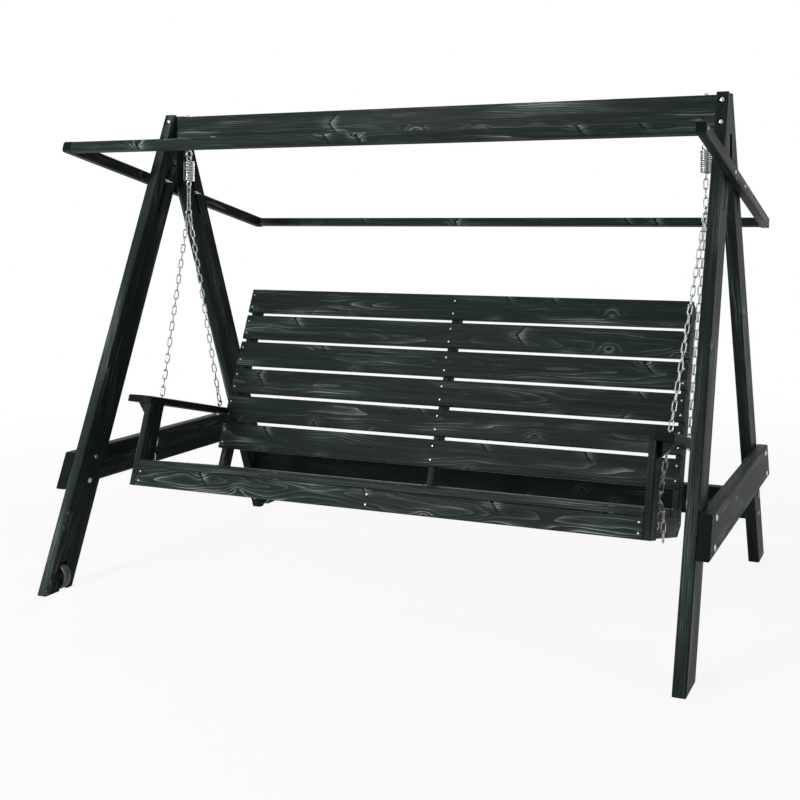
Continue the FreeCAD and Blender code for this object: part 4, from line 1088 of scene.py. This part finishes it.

# %% [markdown]
# ## Camera
#
# The photograph was taken from the front right, at the height of a standing person's chest. Its
# upright edges stay nearly upright, which a shifted lens gives: the camera looks almost level, and
# the picture is cut from below and to the left of the middle of its view. A larger shift would fit
# the outline still better, but it would push the swing out of the frame in views from other sides.

# %% Camera
PICTURE = 800
LENS = 1005.6
MIDDLE = (592.4, 206.6)
camera_data = bpy.data.cameras.new("photo_camera")
camera_data.sensor_width = 36.0
camera_data.lens = LENS / PICTURE * 36.0
camera_data.shift_x = 0.5 - MIDDLE[0] / PICTURE
camera_data.shift_y = MIDDLE[1] / PICTURE - 0.5
camera_data.clip_end = 100.0
camera = bpy.data.objects.new("photo_camera", camera_data)
bpy.context.scene.collection.objects.link(camera)
camera.location = (1.9986, -3.6473, 1.4291)
camera.rotation_euler = [math.radians(angle) for angle in (90.81, 0.0, 19.154)]
bpy.context.scene.camera = camera
print("lens", round(camera_data.lens, 1), "mm, shift", camera_data.shift_x, camera_data.shift_y)

# %% [markdown]
# ## Floor
#
# The swing stands on white paper that keeps its shadow. A brighter lamp would make the paper
# white, but it would wash the dark stain out too. So the paper shows as white to the camera and to
# reflections, and stays pale grey for the light. Near the object 90 parts in 100 of the white are
# steady, so that the shadow shows faintly; further out it grows to all of it, and no horizon is
# left.

# %% Floor


def seen_rays(tree):
    """1 for the rays that show white: the camera's, and those that are reflected or let through."""
    rays = add(tree, "ShaderNodeLightPath").outputs
    seen = rays["Is Camera Ray"]
    for kind in ("Is Glossy Ray", "Is Transmission Ray"):
        seen = add(tree, MATH, (seen, rays[kind]), operation="MAXIMUM")
    return seen


FADE_START = 1.6
FADE_END = 5.0
paper, tree = new_material("white_paper")
sheet = {"Base Color": srgb("cfcfcf"), "Roughness": 0.95, "Specular IOR Level": 0.0}
shader = add(tree, SHADER, sheet)
glow = add(tree, "ShaderNodeEmission", {"Color": srgb("ffffff"), "Strength": 1.0})
place = add(tree, "ShaderNodeTexCoord").outputs["Object"]
away = add(tree, "ShaderNodeVectorMath", (place,), operation="LENGTH").outputs["Value"]
fade = add(tree, RANGE, (away, FADE_START, FADE_END, 0.9, 1.0), interpolation_type="SMOOTHSTEP")
share = add(tree, MATH, (seen_rays(tree), fade), operation="MULTIPLY")
mixed = add(tree, "ShaderNodeMixShader", (share, shader, glow))
add(tree, OUTPUT, {"Surface": mixed})

form = bmesh.new()
bmesh.ops.create_grid(form, x_segments=2, y_segments=2, size=40.0)
mesh = bpy.data.meshes.new("floor")
form.to_mesh(mesh)
form.free()
mesh.materials.append(paper)
floor = bpy.data.objects.new("floor", mesh)
bpy.context.scene.collection.objects.link(floor)
print("floor of", [round(side, 1) for side in floor.dimensions], "m")

# %% [markdown]
# ## Backdrop and even light
#
# Outdoors, or in a white studio, light comes from all round. The world gives a little of it, at a
# tenth of full white, and shows as full white only to the camera and to reflections, so that the
# steel has something pale to mirror.

# %% World
world = bpy.data.worlds.new("studio")
world.use_nodes = True
tree = world.node_tree
strength = add(tree, RANGE, {"Value": seen_rays(tree), "To Min": 0.10, "To Max": 1.0})
backdrop = tree.nodes["Background"]
backdrop.inputs["Color"].default_value = srgb("ffffff")
tree.links.new(strength.outputs["Result"], backdrop.inputs["Strength"])
bpy.context.scene.world = world
bpy.context.scene.view_settings.view_transform = "Standard"
print("view transform:", bpy.context.scene.view_settings.view_transform)

# %% [markdown]
# ## Soft lamps
#
# A dark object is lit gently, or the gloss of its faces washes the colour out. One lamp from the
# front left models the boards, a weaker one picks out the right faces, one above keeps the tops
# apart from the fronts, and one behind lights the rear for views from there. Large squares give
# soft shadows.

# %% Soft lamps


def softbox(name, place, target, wide, power):
    """A large soft lamp that points at a place."""
    data = bpy.data.lights.new(name, "AREA")
    data.shape = "SQUARE"
    data.size = wide
    data.energy = power
    lamp = bpy.data.objects.new(name, data)
    lamp.location = place
    lamp.rotation_euler = (Vector(target) - Vector(place)).to_track_quat("-Z", "Y").to_euler()
    bpy.context.scene.collection.objects.link(lamp)


HEART = (0, 0, 0.9)
softbox("front_lamp", (-1.9, -4.5, 2.0), HEART, 1.1, 260)
softbox("right_lamp", (4.2, -0.9, 2.0), (1.3, 0, 0.8), 1.6, 34)
softbox("top_lamp", (0, 0.5, 5.0), HEART, 3.0, 45)
softbox("rear_lamp", (-2.5, 5.2, 3.0), HEART, 3.0, 240)
print("lamps:", [lamp.name for lamp in bpy.data.lights])
